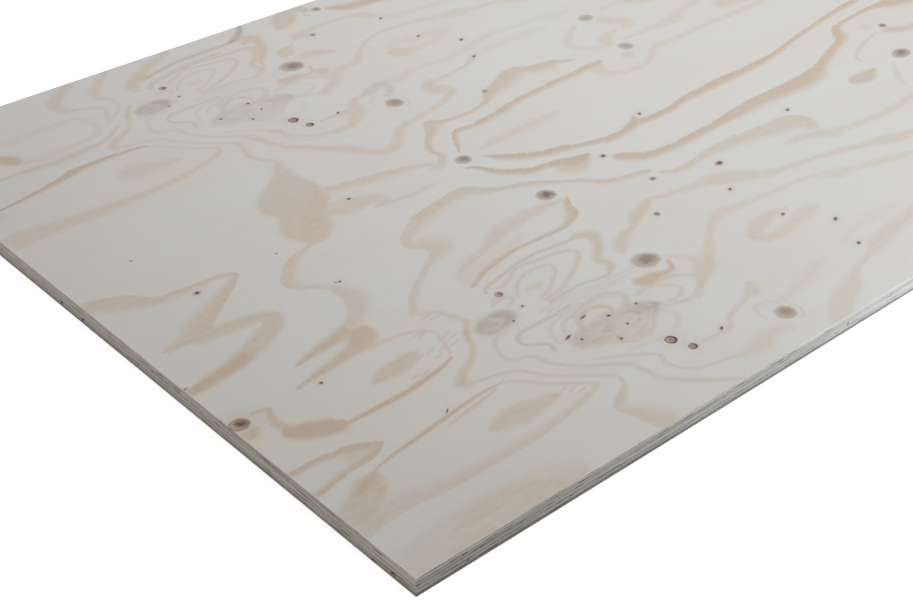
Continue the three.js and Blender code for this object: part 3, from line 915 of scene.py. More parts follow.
class Graph:
    """Wires the nodes of one material or of the surroundings."""

    def __init__(self, owner: bpy.types.Material | bpy.types.World) -> None:
        """Empties the nodes of a material or a world."""
        self.owner = owner
        owner.use_nodes = True
        self.tree = owner.node_tree
        self.tree.nodes.clear()

    @classmethod
    def of_material(cls, name: str) -> "Graph":
        """Starts an empty material of that name."""
        return cls(bpy.data.materials.new(name))

    def node(self, kind: str, inputs: dict[str | int, object] | None = None, **settings: object) -> bpy.types.Node:
        """Adds a node.

        Args:
            kind: Blender's name for the node's type.
            inputs: Its inputs by name or number, each a socket to link or a value to set.
            settings: Its own properties.

        Returns:
            The node.
        """
        node = self.tree.nodes.new(kind)
        for name, setting in settings.items():
            setattr(node, name, setting)
        for key, given in (inputs or {}).items():
            if isinstance(given, Socket):
                self.tree.links.new(given, node.inputs[key])
            else:
                node.inputs[key].default_value = given
        return node

    def math(self, operation: str, first: Value, second: Value = 0.0, clamp: bool = False) -> Socket:
        """Returns the result of a sum on one or two numbers."""
        return self.node("ShaderNodeMath", {0: first, 1: second}, operation=operation, use_clamp=clamp).outputs[0]

    def product(self, first: Value, *others: Value) -> Socket:
        """Returns numbers multiplied."""
        return reduce(partial(self.math, "MULTIPLY"), others, first)

    def blend(self, *terms: tuple[Socket, float], base: float = 0.0) -> Socket:
        """Returns base plus each number's departure from one half times its weight."""
        total: Value = base
        for number, weight in terms:
            total = self.math("ADD", self.product(self.math("SUBTRACT", number, 0.5), weight), total)
        return total

    def vector(self, operation: str, *inputs: Socket | Point, output: str = "Vector") -> Socket:
        """Returns the result of a sum on vectors."""
        return self.node("ShaderNodeVectorMath", dict(enumerate(inputs)), operation=operation).outputs[output]

    def object_place(self) -> Socket:
        """Returns the place on the piece, in metres."""
        return self.node("ShaderNodeTexCoord").outputs["Object"]

    def joined(self, along: Socket, height: Socket, apart: float = 0.0) -> Socket:
        """Returns a vector of two numbers, and of a third that sets one veneer's pattern apart."""
        return self.node("ShaderNodeCombineXYZ", {0: along, 1: height, 2: apart}).outputs[0]

    def smooth(self, value: Socket, low: float, high: float, start: float = 0.0, end: float = 1.0) -> Socket:
        """Returns a smooth change from start to end as a number goes from low to high."""
        inputs = {"Value": value, "From Min": low, "From Max": high, "To Min": start, "To Max": end}
        return self.node("ShaderNodeMapRange", inputs, interpolation_type="SMOOTHSTEP").outputs["Result"]

    def noise(self, place: Socket, scale: tuple[float, float, float], detail: float = 2.0) -> Socket:
        """Returns cloudy noise with its own scale, per metre, along each axis."""
        inputs = {"Vector": self.vector("MULTIPLY", place, scale), "Scale": 1.0, "Detail": detail, "Roughness": 0.55}
        return self.node("ShaderNodeTexNoise", inputs).outputs["Fac"]

    def attribute(self, name: str, output: str = "Fac") -> Socket:
        """Returns one of the mesh's own attributes."""
        return self.node("ShaderNodeAttribute", attribute_name=name).outputs[output]

    def parts(self, vector: Socket) -> tuple[Socket, Socket, Socket]:
        """Returns a vector's three numbers."""
        split = self.node("ShaderNodeSeparateXYZ", {0: vector})
        return split.outputs[0], split.outputs[1], split.outputs[2]

    def mix(self, share: Value, first: Colour | Socket, second: Colour | Socket, way: str = "MIX") -> Socket:
        """Returns two colours mixed, or one laid on the other in another way."""
        node = self.node("ShaderNodeMix", {0: share}, data_type="RGBA", blend_type=way, clamp_result=False)
        for socket, given in ((node.inputs[6], first), (node.inputs[7], second)):
            if isinstance(given, Socket):
                self.tree.links.new(given, socket)
            else:
                socket.default_value = (*given, 1.0)
        return node.outputs[2]

    def scaled(self, colour: Colour | Socket, factor: Socket) -> Socket:
        """Returns a colour made lighter or darker by a factor."""
        grey = self.node("ShaderNodeCombineColor", {0: factor, 1: factor, 2: factor}).outputs[0]
        return self.mix(1.0, colour, grey, "MULTIPLY")

    def wood(self, colour: Socket, roughness: Value, height: Socket, depth: float) -> bpy.types.Material:
        """Ends the material as bare wood.

        Args:
            colour: Its colour.
            roughness: Its roughness.
            height: Its relief, from 0 to 1.
            depth: How deep that relief is, in metres.

        Returns:
            The finished material.
        """
        bump = self.node("ShaderNodeBump", {"Height": height, "Distance": depth, "Strength": 1.0})
        inputs = {
            "Base Color": colour,
            "Roughness": roughness,
            "Normal": bump.outputs[0],
            "Specular IOR Level": 0.32,
        }
        shader = self.node("ShaderNodeBsdfPrincipled", inputs)
        self.node("ShaderNodeOutputMaterial", {"Surface": shader.outputs[0]})
        return self.owner


@dataclass(frozen=True)
class PeeledFace:
    """The finish of a rotary-cut softwood face, read from its figure's attributes.

    Attributes:
        ground: The pale earlywood.
        warm_ground: The same where it is a little warmer.
        peaches: What a peach stripe leaves of each colour of the ground, where it is pinker and yellower.
        dense: What a dense peach stripe leaves on top of that.
        tints: What each other tint leaves.
        core: What a knot's dark core leaves of each colour.
        bark: The dark ring round a loose knot, and the cracks.
        eye: The amber wood inside that ring.
        relief: How deep the grain is, in metres.
    """

    ground: Colour = (0.660, 0.662, 0.646)
    warm_ground: Colour = (0.676, 0.646, 0.611)
    peaches: tuple[Colour, Colour] = ((0.853, 0.69, 0.58), (0.858, 0.69, 0.52))
    dense: Colour = (0.96, 0.97, 0.96)
    tints: tuple[tuple[Tint, Colour], ...] = (
        (Tint.MAUVE, (0.81, 0.745, 0.68)),
        (Tint.OLIVE, (0.835, 0.725, 0.545)),
        (Tint.TAUPE, (0.63, 0.53, 0.46)),
    )
    core: Colour = (0.29, 0.18, 0.145)
    bark: Colour = (0.065, 0.038, 0.026)
    eye: Colour = (0.50, 0.34, 0.25)
    relief: float = 0.00016

    def material(self, name: str) -> bpy.types.Material:
        """Returns the finish as a material of that name."""
        graph = Graph.of_material(name)
        grain = graph.attribute(GRAIN, "Vector")
        broad = graph.noise(grain, (2.6, 130.0, 1.0), 3.0)
        fibre = graph.noise(grain, (11.0, 620.0, 1.0), 3.0)
        hair = graph.noise(grain, (34.0, 2100.0, 1.0), 1.0)
        colour = self.earlywood(graph, grain, broad, fibre, hair)
        mottle = graph.noise(grain, (60.0, 170.0, 1.0), 3.0)
        torn = graph.blend((broad, 0.45), (mottle, 0.75), (fibre, 0.6), (hair, 0.35))
        peach_share = self.peach_share(graph, fibre, hair)
        hue = graph.blend((graph.noise(grain, (9.0, 22.0, 1.0), 2.0), 1.0), (peach_share, -0.3), base=0.5)
        hue = graph.smooth(hue, 0.36, 0.64)
        peach = self.streaky(graph, peach_share, torn)
        colour = graph.mix(peach, colour, graph.mix(1.0, colour, graph.mix(hue, *self.peaches), "MULTIPLY"))
        colour = self.shaded(graph, colour, graph.product(peach, peach), self.dense)
        for tint, ratio in self.tints:
            colour = self.shaded(graph, colour, self.streaky(graph, graph.attribute(tint.value), torn), ratio)
        colour, crack = self.knots(graph, colour, fibre)
        streaks = graph.blend((broad, 0.35), (fibre, 0.5), (hair, 0.4), base=0.5)
        raised = graph.math("ADD", streaks, graph.product(peach_share, 0.25))
        height = graph.math("SUBTRACT", raised, crack, clamp=True)
        roughness = graph.blend((fibre, 0.12), (peach_share, -0.08), base=0.58)
        return graph.wood(colour, roughness, height, self.relief)

    def peach_share(self, graph: Graph, fibre: Socket, hair: Socket) -> Socket:
        """Joins the soft stripes with those that are cut sharply at one side.

        Args:
            graph: The material's graph.
            fibre: The grain's noise, which frays the cut.
            hair: The finer noise that does the same.

        Returns:
            How peach each place is.
        """
        side = graph.math("ADD", graph.attribute(CUT_SIDE), graph.blend((fibre, 1.4), (hair, 0.6)))
        kept = graph.smooth(side, -1.7, 2.1)
        cut = graph.product(graph.attribute(CUT_SHADE), kept)
        return graph.math("MAXIMUM", graph.attribute(Tint.PEACH.value), cut)

    def streaky(self, graph: Graph, share: Socket, torn: Socket) -> Socket:
        """Makes a tint run out in streaks, most of all where it half covers the wood.

        Args:
            graph: The material's graph.
            share: How fully the tint covers each place.
            torn: The streaks, about 0.

        Returns:
            The share with its streaks.
        """
        room = graph.product(share, graph.math("SUBTRACT", 2.6, graph.product(share, 2.0)))
        return graph.math("ADD", share, graph.product(room, torn), clamp=True)

    def earlywood(self, graph: Graph, grain: Socket, broad: Socket, fibre: Socket, hair: Socket) -> Socket:
        """Colours the ground: warmer and paler drifts, fibres and fine dark resin dashes.

        Args:
            graph: The material's graph.
            grain: The place along and across the grain.
            broad: The noise of broad streaks.
            fibre: The noise of fibres.
            hair: The noise of the finest fibres.

        Returns:
            The ground's colour.
        """
        drift = graph.smooth(graph.noise(grain, (2.6, 7.0, 1.0), 4.0), 0.34, 0.68)
        ground = graph.mix(drift, self.ground, self.warm_ground)
        shade = graph.blend((broad, 0.07), (fibre, 0.06), (hair, 0.05), base=1.0)
        dashes = graph.smooth(graph.noise(grain, (46.0, 1300.0, 1.0), 1.0), 0.74, 0.82, 0.0, 0.14)
        return graph.scaled(ground, graph.math("SUBTRACT", shade, dashes))

    def knots(self, graph: Graph, wood: Socket, fibre: Socket) -> tuple[Socket, Socket]:
        """Lays the knots on the wood.

        Args:
            graph: The material's graph.
            wood: The colour of the wood round them.
            fibre: The grain's noise.

        Returns:
            The colour with knots, and how deep their cracks are.
        """
        place = graph.attribute(KNOT_PLACE, "Vector")
        ring = graph.parts(place)[2]
        body, core, bark = graph.parts(graph.attribute(KNOT_TONE, "Vector"))
        flat = graph.vector("MULTIPLY", place, (1.0, 1.0, 0.0))
        own = self.own_place(graph, flat)
        blotch = graph.noise(own, (2.2, 2.2, 2.2), 3.0)
        speckle = graph.noise(own, (7.0, 7.0, 7.0), 2.0)
        wavy = graph.math("ADD", ring, graph.blend((blotch, 0.40), (speckle, 0.22)))
        turns = graph.math("ADD", graph.product(ring, 24.0), graph.product(blotch, 7.0))
        ringed = graph.math("ADD", graph.product(graph.math("SINE", turns), 0.10), 1.0)
        mottled = graph.product(ringed, graph.blend((blotch, 0.7), (speckle, 0.5), (fibre, 0.3), base=1.0))
        body_share = graph.product(graph.smooth(wavy, 0.76, 1.18, 1.0, 0.0), body)
        knotwood = dict(self.tints)[Tint.TAUPE]
        colour = self.shaded(graph, wood, graph.math("MULTIPLY", body_share, mottled, clamp=True), knotwood)
        inside = graph.product(graph.smooth(wavy, 0.50, 0.80, 1.0, 0.0), graph.attribute(KNOT_EYE))
        colour = graph.mix(inside, colour, self.eye)
        off_centre = graph.vector("DISTANCE", flat, (0.16, 0.06, 0.0), output="Value")
        ragged = graph.math("ADD", off_centre, graph.blend((blotch, 0.9), (speckle, 0.9)))
        core_share = graph.product(graph.smooth(ragged, 0.18, 0.82, 1.0, 0.0), core)
        colour = self.shaded(graph, colour, core_share, self.core)
        from_eye = graph.vector("DISTANCE", flat, (-0.09, 0.08, 0.0), output="Value")
        inner = graph.math("ADD", from_eye, graph.blend((blotch, 0.5), (speckle, 0.3)))
        outside = graph.product(bark, graph.smooth(inner, 0.55, 0.75))
        bark_share = graph.product(graph.smooth(wavy, 0.86, 1.06, 1.0, 0.0), outside)
        colour = graph.mix(bark_share, colour, self.bark)
        crack = self.crack(graph, flat, ring, core)
        return graph.mix(graph.product(crack, 0.8), colour, self.bark), graph.product(crack, 0.4)

    def own_place(self, graph: Graph, flat: Socket) -> Socket:
        """Returns a place in the knot's own terms, shifted by where the knot is so that no two look alike."""
        return graph.vector("MULTIPLY_ADD", graph.object_place(), (9.0, 9.0, 9.0), flat)

    def crack(self, graph: Graph, flat: Socket, ring: Socket, core: Socket) -> Socket:
        """Draws the cracks that run out from a dark core.

        Args:
            graph: The material's graph.
            flat: The place in the knot, in its radii.
            ring: How far that is from the knot's middle.
            core: How dark the knot's core is.

        Returns:
            How fully each place is in a crack.
        """
        spoke = self.own_place(graph, graph.vector("NORMALIZE", flat))
        off_line = graph.math("ABSOLUTE", graph.math("SUBTRACT", graph.noise(spoke, (1.9, 1.9, 1.9), 1.0), 0.5))
        line = graph.smooth(off_line, 0.004, 0.028, 1.0, 0.0)
        return graph.product(graph.smooth(ring, 0.30, 0.75, 1.0, 0.0), graph.product(line, core))

    def shaded(self, graph: Graph, colour: Socket, share: Socket, ratio: Colour) -> Socket:
        """Returns a colour with a share of it shaded by a ratio."""
        return graph.mix(share, colour, graph.mix(1.0, colour, ratio, "MULTIPLY"))


class Axis(Enum):
    """The two ways that a veneer's grain can run, as indices of a place's numbers."""

    ALONG = 0
    ACROSS = 1


@dataclass(frozen=True)
class EdgeMark:
    """A knot, stain or torn spot in a sawn edge, in millimetres.

    Attributes:
        along: Where it is along the edge, from the reference corner.
        height: Its height above the sheet's underside.
        radii: Half its length and half its height.
        colour: Its colour.
        strength: How fully it covers the wood.
    """

    along: float
    height: float
    radii: Point
    colour: Colour = (0.045, 0.034, 0.028)
    strength: float = 0.9


@dataclass(frozen=True)
class SawnEdge:
    """The finish of a sawn edge of one veneer.

    Attributes:
        tone: The edge's mean colour.
        marks: Its knots, stains and torn spots.
        contrast: How far its streaks depart from the mean.
        brightest: How bright a streak can be, as a share of the mean.
        darkest: How dark it can be.
        calm: How much evener the edge's streaks and glue lines are made away from the reference corner.
        calm_from: Where that begins and is complete, along the edge in metres.
        glue: The glue that shows along the veneer's two skins.
        glue_reach: How far from each skin the glue darkens the wood, in metres.
        relief: How deep the saw marks are, in metres.
    """

    tone: Colour
    marks: tuple[EdgeMark, ...] = ()
    contrast: float = 1.35
    brightest: float = 1.2
    darkest: float = 0.25
    calm: float = 0.5
    calm_from: tuple[float, float] = (0.25, 0.9)
    glue: Colour = (0.075, 0.066, 0.056)
    glue_reach: float = 0.0006
    relief: float = 0.00025

    def material(self, name: str, run: Axis, end_grain: bool, slab: "Slab") -> bpy.types.Material:
        """Makes the finish of one veneer's two opposite edges.

        Args:
            name: The material's name.
            run: The way that the edge runs.
            end_grain: Whether the edge cuts the fibres across.
            slab: The veneer's block.

        Returns:
            The material.
        """
        graph = Graph.of_material(name)
        numbers = graph.parts(graph.object_place())
        along, height = numbers[run.value], numbers[2]
        apart = slab.low.z * 40
        flat = graph.joined(along, height, apart)
        wander = graph.product(graph.blend((graph.noise(flat, (7.0, 7.0, 1.0), 2.0), 1.0)), 0.006)
        bent = graph.joined(along, graph.math("ADD", height, wander), apart)
        streaks, fine, marks = (
            graph.noise(place, scale, detail)
            for place, scale, detail in zip((bent, flat, flat), self.grain_scales(end_grain), (3.0, 3.0, 2.0))
        )
        patches = graph.noise(flat, (5.0, 60.0, 1.0), 3.0)
        weights = ((streaks, 1.15), (fine, 0.55), (marks, 0.22), (patches, 0.5))
        light = graph.blend(*((noise, weight * self.contrast) for noise, weight in weights), base=1.0)
        light = graph.math("MINIMUM", graph.math("MAXIMUM", light, self.darkest), self.brightest)
        start, end = (slab.low[run.value] + distance for distance in self.calm_from)
        calm = graph.smooth(along, start, end, 0.0, self.calm)
        light = graph.math("ADD", light, graph.product(graph.math("SUBTRACT", 1.0, light), calm))
        glued = graph.product(self.glue_share(graph, slab, height, flat), graph.math("SUBTRACT", 1.0, calm))
        colour = graph.mix(glued, graph.scaled(self.tone, light), self.glue)
        for mark in self.marks:
            colour = graph.mix(self.mark_share(graph, mark, run, slab, along, height, fine), colour, mark.colour)
        relief = graph.blend((fine, 0.6), (marks, 0.5), (streaks, 0.6), base=0.5)
        return graph.wood(colour, 0.85, graph.math("SUBTRACT", relief, glued, clamp=True), self.relief)

    def grain_scales(self, end_grain: bool) -> tuple[Point, Point, Point]:
        """Returns how closely streaks, fibres and saw marks lie, per metre along the edge and up it."""
        if end_grain:
            return (16.0, 620.0, 1.0), (900.0, 1500.0, 1.0), (380.0, 50.0, 1.0)
        return (6.5, 520.0, 1.0), (60.0, 2300.0, 1.0), (260.0, 40.0, 1.0)

    def glue_share(self, graph: Graph, slab: "Slab", height: Socket, flat: Socket) -> Socket:
        """Draws the torn lines of glue along both skins.

        Args:
            graph: The material's graph.
            slab: The veneer's block.
            height: The place's height.
            flat: The place on the edge.

        Returns:
            How fully the glue covers each place.
        """
        below = graph.math("SUBTRACT", height, slab.low.z)
        skin = graph.math("MINIMUM", below, graph.math("SUBTRACT", slab.high.z, height))
        torn = graph.smooth(graph.noise(flat, (30.0, 200.0, 1.0), 3.0), 0.50, 0.64)
        reach = graph.product(graph.math("ADD", torn, 0.35), self.glue_reach)
        near_glue = graph.smooth(graph.math("SUBTRACT", skin, reach), -0.0002, 0.0003, 1.0, 0.0)
        return graph.product(near_glue, graph.math("ADD", graph.product(torn, 0.45), 0.45))

    def mark_share(
        self, graph: Graph, mark: EdgeMark, run: Axis, slab: "Slab", along: Socket, height: Socket, fine: Socket
    ) -> Socket:
        """Draws one mark with a ragged outline.

        Args:
            graph: The material's graph.
            mark: The mark.
            run: The way that the edge runs.
            slab: The veneer's block.
            along: The place along the edge.
            height: The place's height.
            fine: The noise that makes the outline ragged.

        Returns:
            How fully the mark covers each place.
        """
        middles = (slab.low[run.value] + mark.along * MM, mark.height * MM)
        steps = (
            graph.product(graph.math("SUBTRACT", number, middle), 1.0 / (radius * MM))
            for number, middle, radius in zip((along, height), middles, mark.radii)
        )
        ring = graph.vector("LENGTH", graph.joined(*steps), output="Value")
        ragged = graph.math("ADD", ring, graph.blend((fine, 1.0)))
        return graph.smooth(ragged, 0.6, 1.15, mark.strength, 0.0)


@dataclass(frozen=True)
class GluedSkin:
    """The finish of a veneer's skin that faces the next veneer, hidden in the sheet.

    Attributes:
        wood: The veneer.
        glue: The cured glue on it.
    """

    wood: Colour = (0.46, 0.37, 0.27)
    glue: Colour = (0.20, 0.12, 0.075)

    def material(self, name: str) -> bpy.types.Material:
        """Returns the finish as a material of that name."""
        graph = Graph.of_material(name)
        place = graph.object_place()
        fibre = graph.noise(place, (14.0, 500.0, 1.0), 2.0)
        spread = graph.smooth(graph.noise(place, (60.0, 60.0, 60.0), 3.0), 0.38, 0.62)
        return graph.wood(graph.mix(spread, self.wood, self.glue), 0.7, fibre, 0.0001)


@dataclass(frozen=True)
class KnotHoleWall:
    """The finish inside a knot hole that the saw has opened: dark bark and resin.

    Attributes:
        bark: The dark lining.
        resin: The browner patches in it.
    """

    bark: Colour = (0.030, 0.020, 0.016)
    resin: Colour = (0.110, 0.060, 0.035)

    def material(self, name: str) -> bpy.types.Material:
        """Returns the finish as a material of that name."""
        graph = Graph.of_material(name)
        crust = graph.noise(graph.object_place(), (900.0, 900.0, 900.0), 3.0)
        share = graph.smooth(crust, 0.45, 0.65)
        return graph.wood(graph.mix(share, self.bark, self.resin), 0.6, crust, 0.0004)


# ------------------------------------------------------------------------------------------------
# Modelling by operators
# ------------------------------------------------------------------------------------------------

# Blender's select modes.
EDGES, FACES = (False, True, False), (False, False, True)
# How far up a face's normal has to point for the face to count as level, and below which it is upright.
LEVEL, UPRIGHT = 0.99, 0.8


def only(piece: bpy.types.Object) -> None:
    """Makes a piece the one selected and active object."""
    bpy.ops.object.select_all(action="DESELECT")
    piece.select_set(True)
    bpy.context.view_layer.objects.active = piece


def apply_place(piece: bpy.types.Object) -> None:
    """Moves a piece's place, turn and size into its mesh."""
    only(piece)
    bpy.ops.object.transform_apply(location=True, rotation=True, scale=True)


def mesh_numbers(items: bpy.types.bpy_prop_collection, name: str, width: int, kind: type = float) -> np.ndarray:
    """Returns one property of all of a mesh's vertices, edges or faces as an array."""
    numbers = np.zeros(len(items) * width, kind)
    items.foreach_get(name, numbers)
    return numbers.reshape(-1, width) if width > 1 else numbers


def edit_selected(piece: bpy.types.Object, mode: tuple[bool, bool, bool], chosen: np.ndarray) -> None:
    """Opens a piece in edit mode with some of its edges or faces selected.

    Args:
        piece: The piece.
        mode: EDGES or FACES.
        chosen: Which of them are selected.
    """
    only(piece)
    mesh = piece.data
    bpy.context.tool_settings.mesh_select_mode = mode
    for items in (mesh.vertices, mesh.edges, mesh.polygons):
        items.foreach_set("select", np.zeros(len(items), bool))
    picked = mesh.edges if mode == EDGES else mesh.polygons
    picked.foreach_set("select", chosen)
    if mode == EDGES:
        ends = mesh_numbers(mesh.edges, "vertices", 2, np.int32)[chosen]
        touched = np.zeros(len(mesh.vertices), bool)
        touched[ends.ravel()] = True
        mesh.vertices.foreach_set("select", touched)
    bpy.ops.object.mode_set(mode="EDIT")


def leave_edit() -> None:
    """Goes back to object mode."""
    bpy.ops.object.mode_set(mode="OBJECT")


@dataclass(frozen=True)
class Slab:
    """A veneer's own block of wood.

    Attributes:
        low: Its lowest corner, in metres.
        high: Its highest corner.
    """

    low: Vector
    high: Vector

    @classmethod
    def of_node(cls, node: str) -> "Slab":
        """Returns the block that a CAD node fills."""
        return cls(*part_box(node))

    @property
    def size(self) -> Vector:
        """The block's length, width and thickness."""
        return self.high - self.low

    def in_sheet(self, places: np.ndarray) -> np.ndarray:
        """Returns places as millimetres from the reference corner, along and across."""
        return (places[:, :2] - np.array(self.low[:2])) / MM

    def gridded(self, name: str, columns: int, rows: int) -> bpy.types.Object:
        """Builds the block from a grid that is pulled up to the block's thickness.

        Args:
            name: The piece's name.
            columns: How many cells it has along.
            rows: How many cells it has across.

        Returns:
            The block as a new piece.
        """
        middle = (self.low + self.high) / 2
        place = (middle.x, middle.y, self.low.z)
        bpy.ops.mesh.primitive_grid_add(x_subdivisions=columns, y_subdivisions=rows, size=1.0, location=place)
        piece = bpy.context.object
        piece.name = name
        piece.data.name = name
        piece.scale = (self.size.x, self.size.y, 1.0)
        apply_place(piece)
        edit_selected(piece, FACES, np.ones(len(piece.data.polygons), bool))
        bpy.ops.mesh.extrude_region_move(TRANSFORM_OT_translate={"value": (0.0, 0.0, self.size.z)})
        bpy.ops.mesh.select_all(action="SELECT")
        bpy.ops.mesh.normals_make_consistent(inside=False)
        leave_edit()
        return piece

    def rim_edges(self, piece: bpy.types.Object, level: float) -> np.ndarray:
        """Returns which of a piece's edges run round its rim at one height."""
        places = mesh_numbers(piece.data.vertices, "co", 3)
        ends = mesh_numbers(piece.data.edges, "vertices", 2, np.int32)
        level_at = np.abs(places[:, 2] - level) < TINY
        chosen = np.zeros(len(ends), bool)
        for axis in (0, 1):
            for wall in (self.low[axis], self.high[axis]):
                on_rim = level_at & (np.abs(places[:, axis] - wall) < TINY)
                chosen |= on_rim[ends].all(axis=1)
        return chosen

    def bevel_rim(self, piece: bpy.types.Object, level: float, width: float, segments: int) -> None:
        """Breaks the sharp rim of a piece at one height.

        Args:
            piece: The piece.
            level: The rim's height.
            width: How wide the broken rim is.
            segments: How many faces wide it is.
        """
        edit_selected(piece, EDGES, self.rim_edges(piece, level))
        bpy.ops.mesh.bevel(offset=width, segments=segments, affect="EDGES", clamp_overlap=True)
        leave_edit()

    def merge_faces(self, piece: bpy.types.Object, upward: bool) -> None:
        """Makes the flat top or underside of a piece one face."""
        normals = mesh_numbers(piece.data.polygons, "normal", 3)
        chosen = normals[:, 2] > LEVEL if upward else normals[:, 2] < -LEVEL
        edit_selected(piece, FACES, chosen)
        bpy.ops.mesh.dissolve_faces(use_verts=False)
        leave_edit()


@dataclass(frozen=True)
class Cells:
    """The levels at which a face is cut finer where its figure asks for it.

    Attributes:
        length: The sheet's length, in millimetres.
        width: Its width.
        columns: The coarsest cells along it.
        rows: The coarsest cells across it.
        levels: How often a coarse cell can be halved.
        slack: How much larger than wanted a cell may stay.
    """

    length: float
    width: float
    columns: int = 120
    rows: int = 60
    levels: int = 4
    slack: float = 1.25

    def size(self, level: int) -> float:
        """Returns the side of a cell that has been halved that often."""
        return self.length / self.columns / 2**level

    def plan(self, wanted: np.ndarray) -> list[np.ndarray]:
        """Plans which cells of each level are cut in four.

        Args:
            wanted: The map of wanted cells, as fine as the finest level but one.

        Returns:
            For each level from the coarsest, the cells to cut. Next to a cut cell is never one that
            is two levels coarser.
        """
        cuts: list[np.ndarray] = []
        needed = np.zeros(wanted.shape, bool)
        map_here = wanted
        for level in reversed(range(self.levels)):
            cell = self.size(level)
            shape = (self.columns * 2**level, self.rows * 2**level)
            while map_here.shape[0] > shape[0]:
                map_here = self.coarser(map_here, np.min)
            if needed.shape[0] > shape[0]:
                needed = self.coarser(needed, np.max)
            cut = needed | (map_here * self.slack < cell)
            cuts.insert(0, cut)
            grown = np.pad(cut, 1)
            needed = (
                cut
                | grown[2:, 1:-1] | grown[:-2, 1:-1] | grown[1:-1, 2:] | grown[1:-1, :-2]
                | grown[2:, 2:] | grown[:-2, :-2] | grown[2:, :-2] | grown[:-2, 2:]
            )
        return cuts

    def coarser(self, cells: np.ndarray, pick: Callable[..., np.ndarray]) -> np.ndarray:
        """Returns a map of half the detail, each cell picked from four."""
        blocks = cells.reshape(cells.shape[0] // 2, 2, cells.shape[1] // 2, 2)
        return pick(blocks, axis=(1, 3))

    def refine(self, piece: bpy.types.Object, slab: Slab, upward: bool, cuts: list[np.ndarray]) -> None:
        """Cuts the shown face of a piece finer, level by level.

        Args:
            piece: The piece, with a grid of the coarsest cells on that face.
            slab: Its block.
            upward: Whether its top is the face that shows.
            cuts: For each level the cells to cut.
        """
        for level, cut in enumerate(cuts):
            mesh = piece.data
            normals = mesh_numbers(mesh.polygons, "normal", 3)
            sides = mesh_numbers(mesh.polygons, "loop_total", 1, np.int32)
            areas = mesh_numbers(mesh.polygons, "area", 1)
            middles = slab.in_sheet(mesh_numbers(mesh.polygons, "center", 3))
            cell = self.size(level)
            facing = normals[:, 2] > LEVEL if upward else normals[:, 2] < -LEVEL
            whole = facing & (sides == 4) & (areas > (0.8 * cell * MM) ** 2) & (areas < (1.1 * cell * MM) ** 2)
            column = np.clip((middles[:, 0] / cell).astype(int), 0, cut.shape[0] - 1)
            row = np.clip((middles[:, 1] / cell).astype(int), 0, cut.shape[1] - 1)
            edit_selected(piece, FACES, whole & cut[column, row])
            bpy.ops.mesh.subdivide(number_cuts=1)
            leave_edit()


# ------------------------------------------------------------------------------------------------
# Maps for the bake
# ------------------------------------------------------------------------------------------------


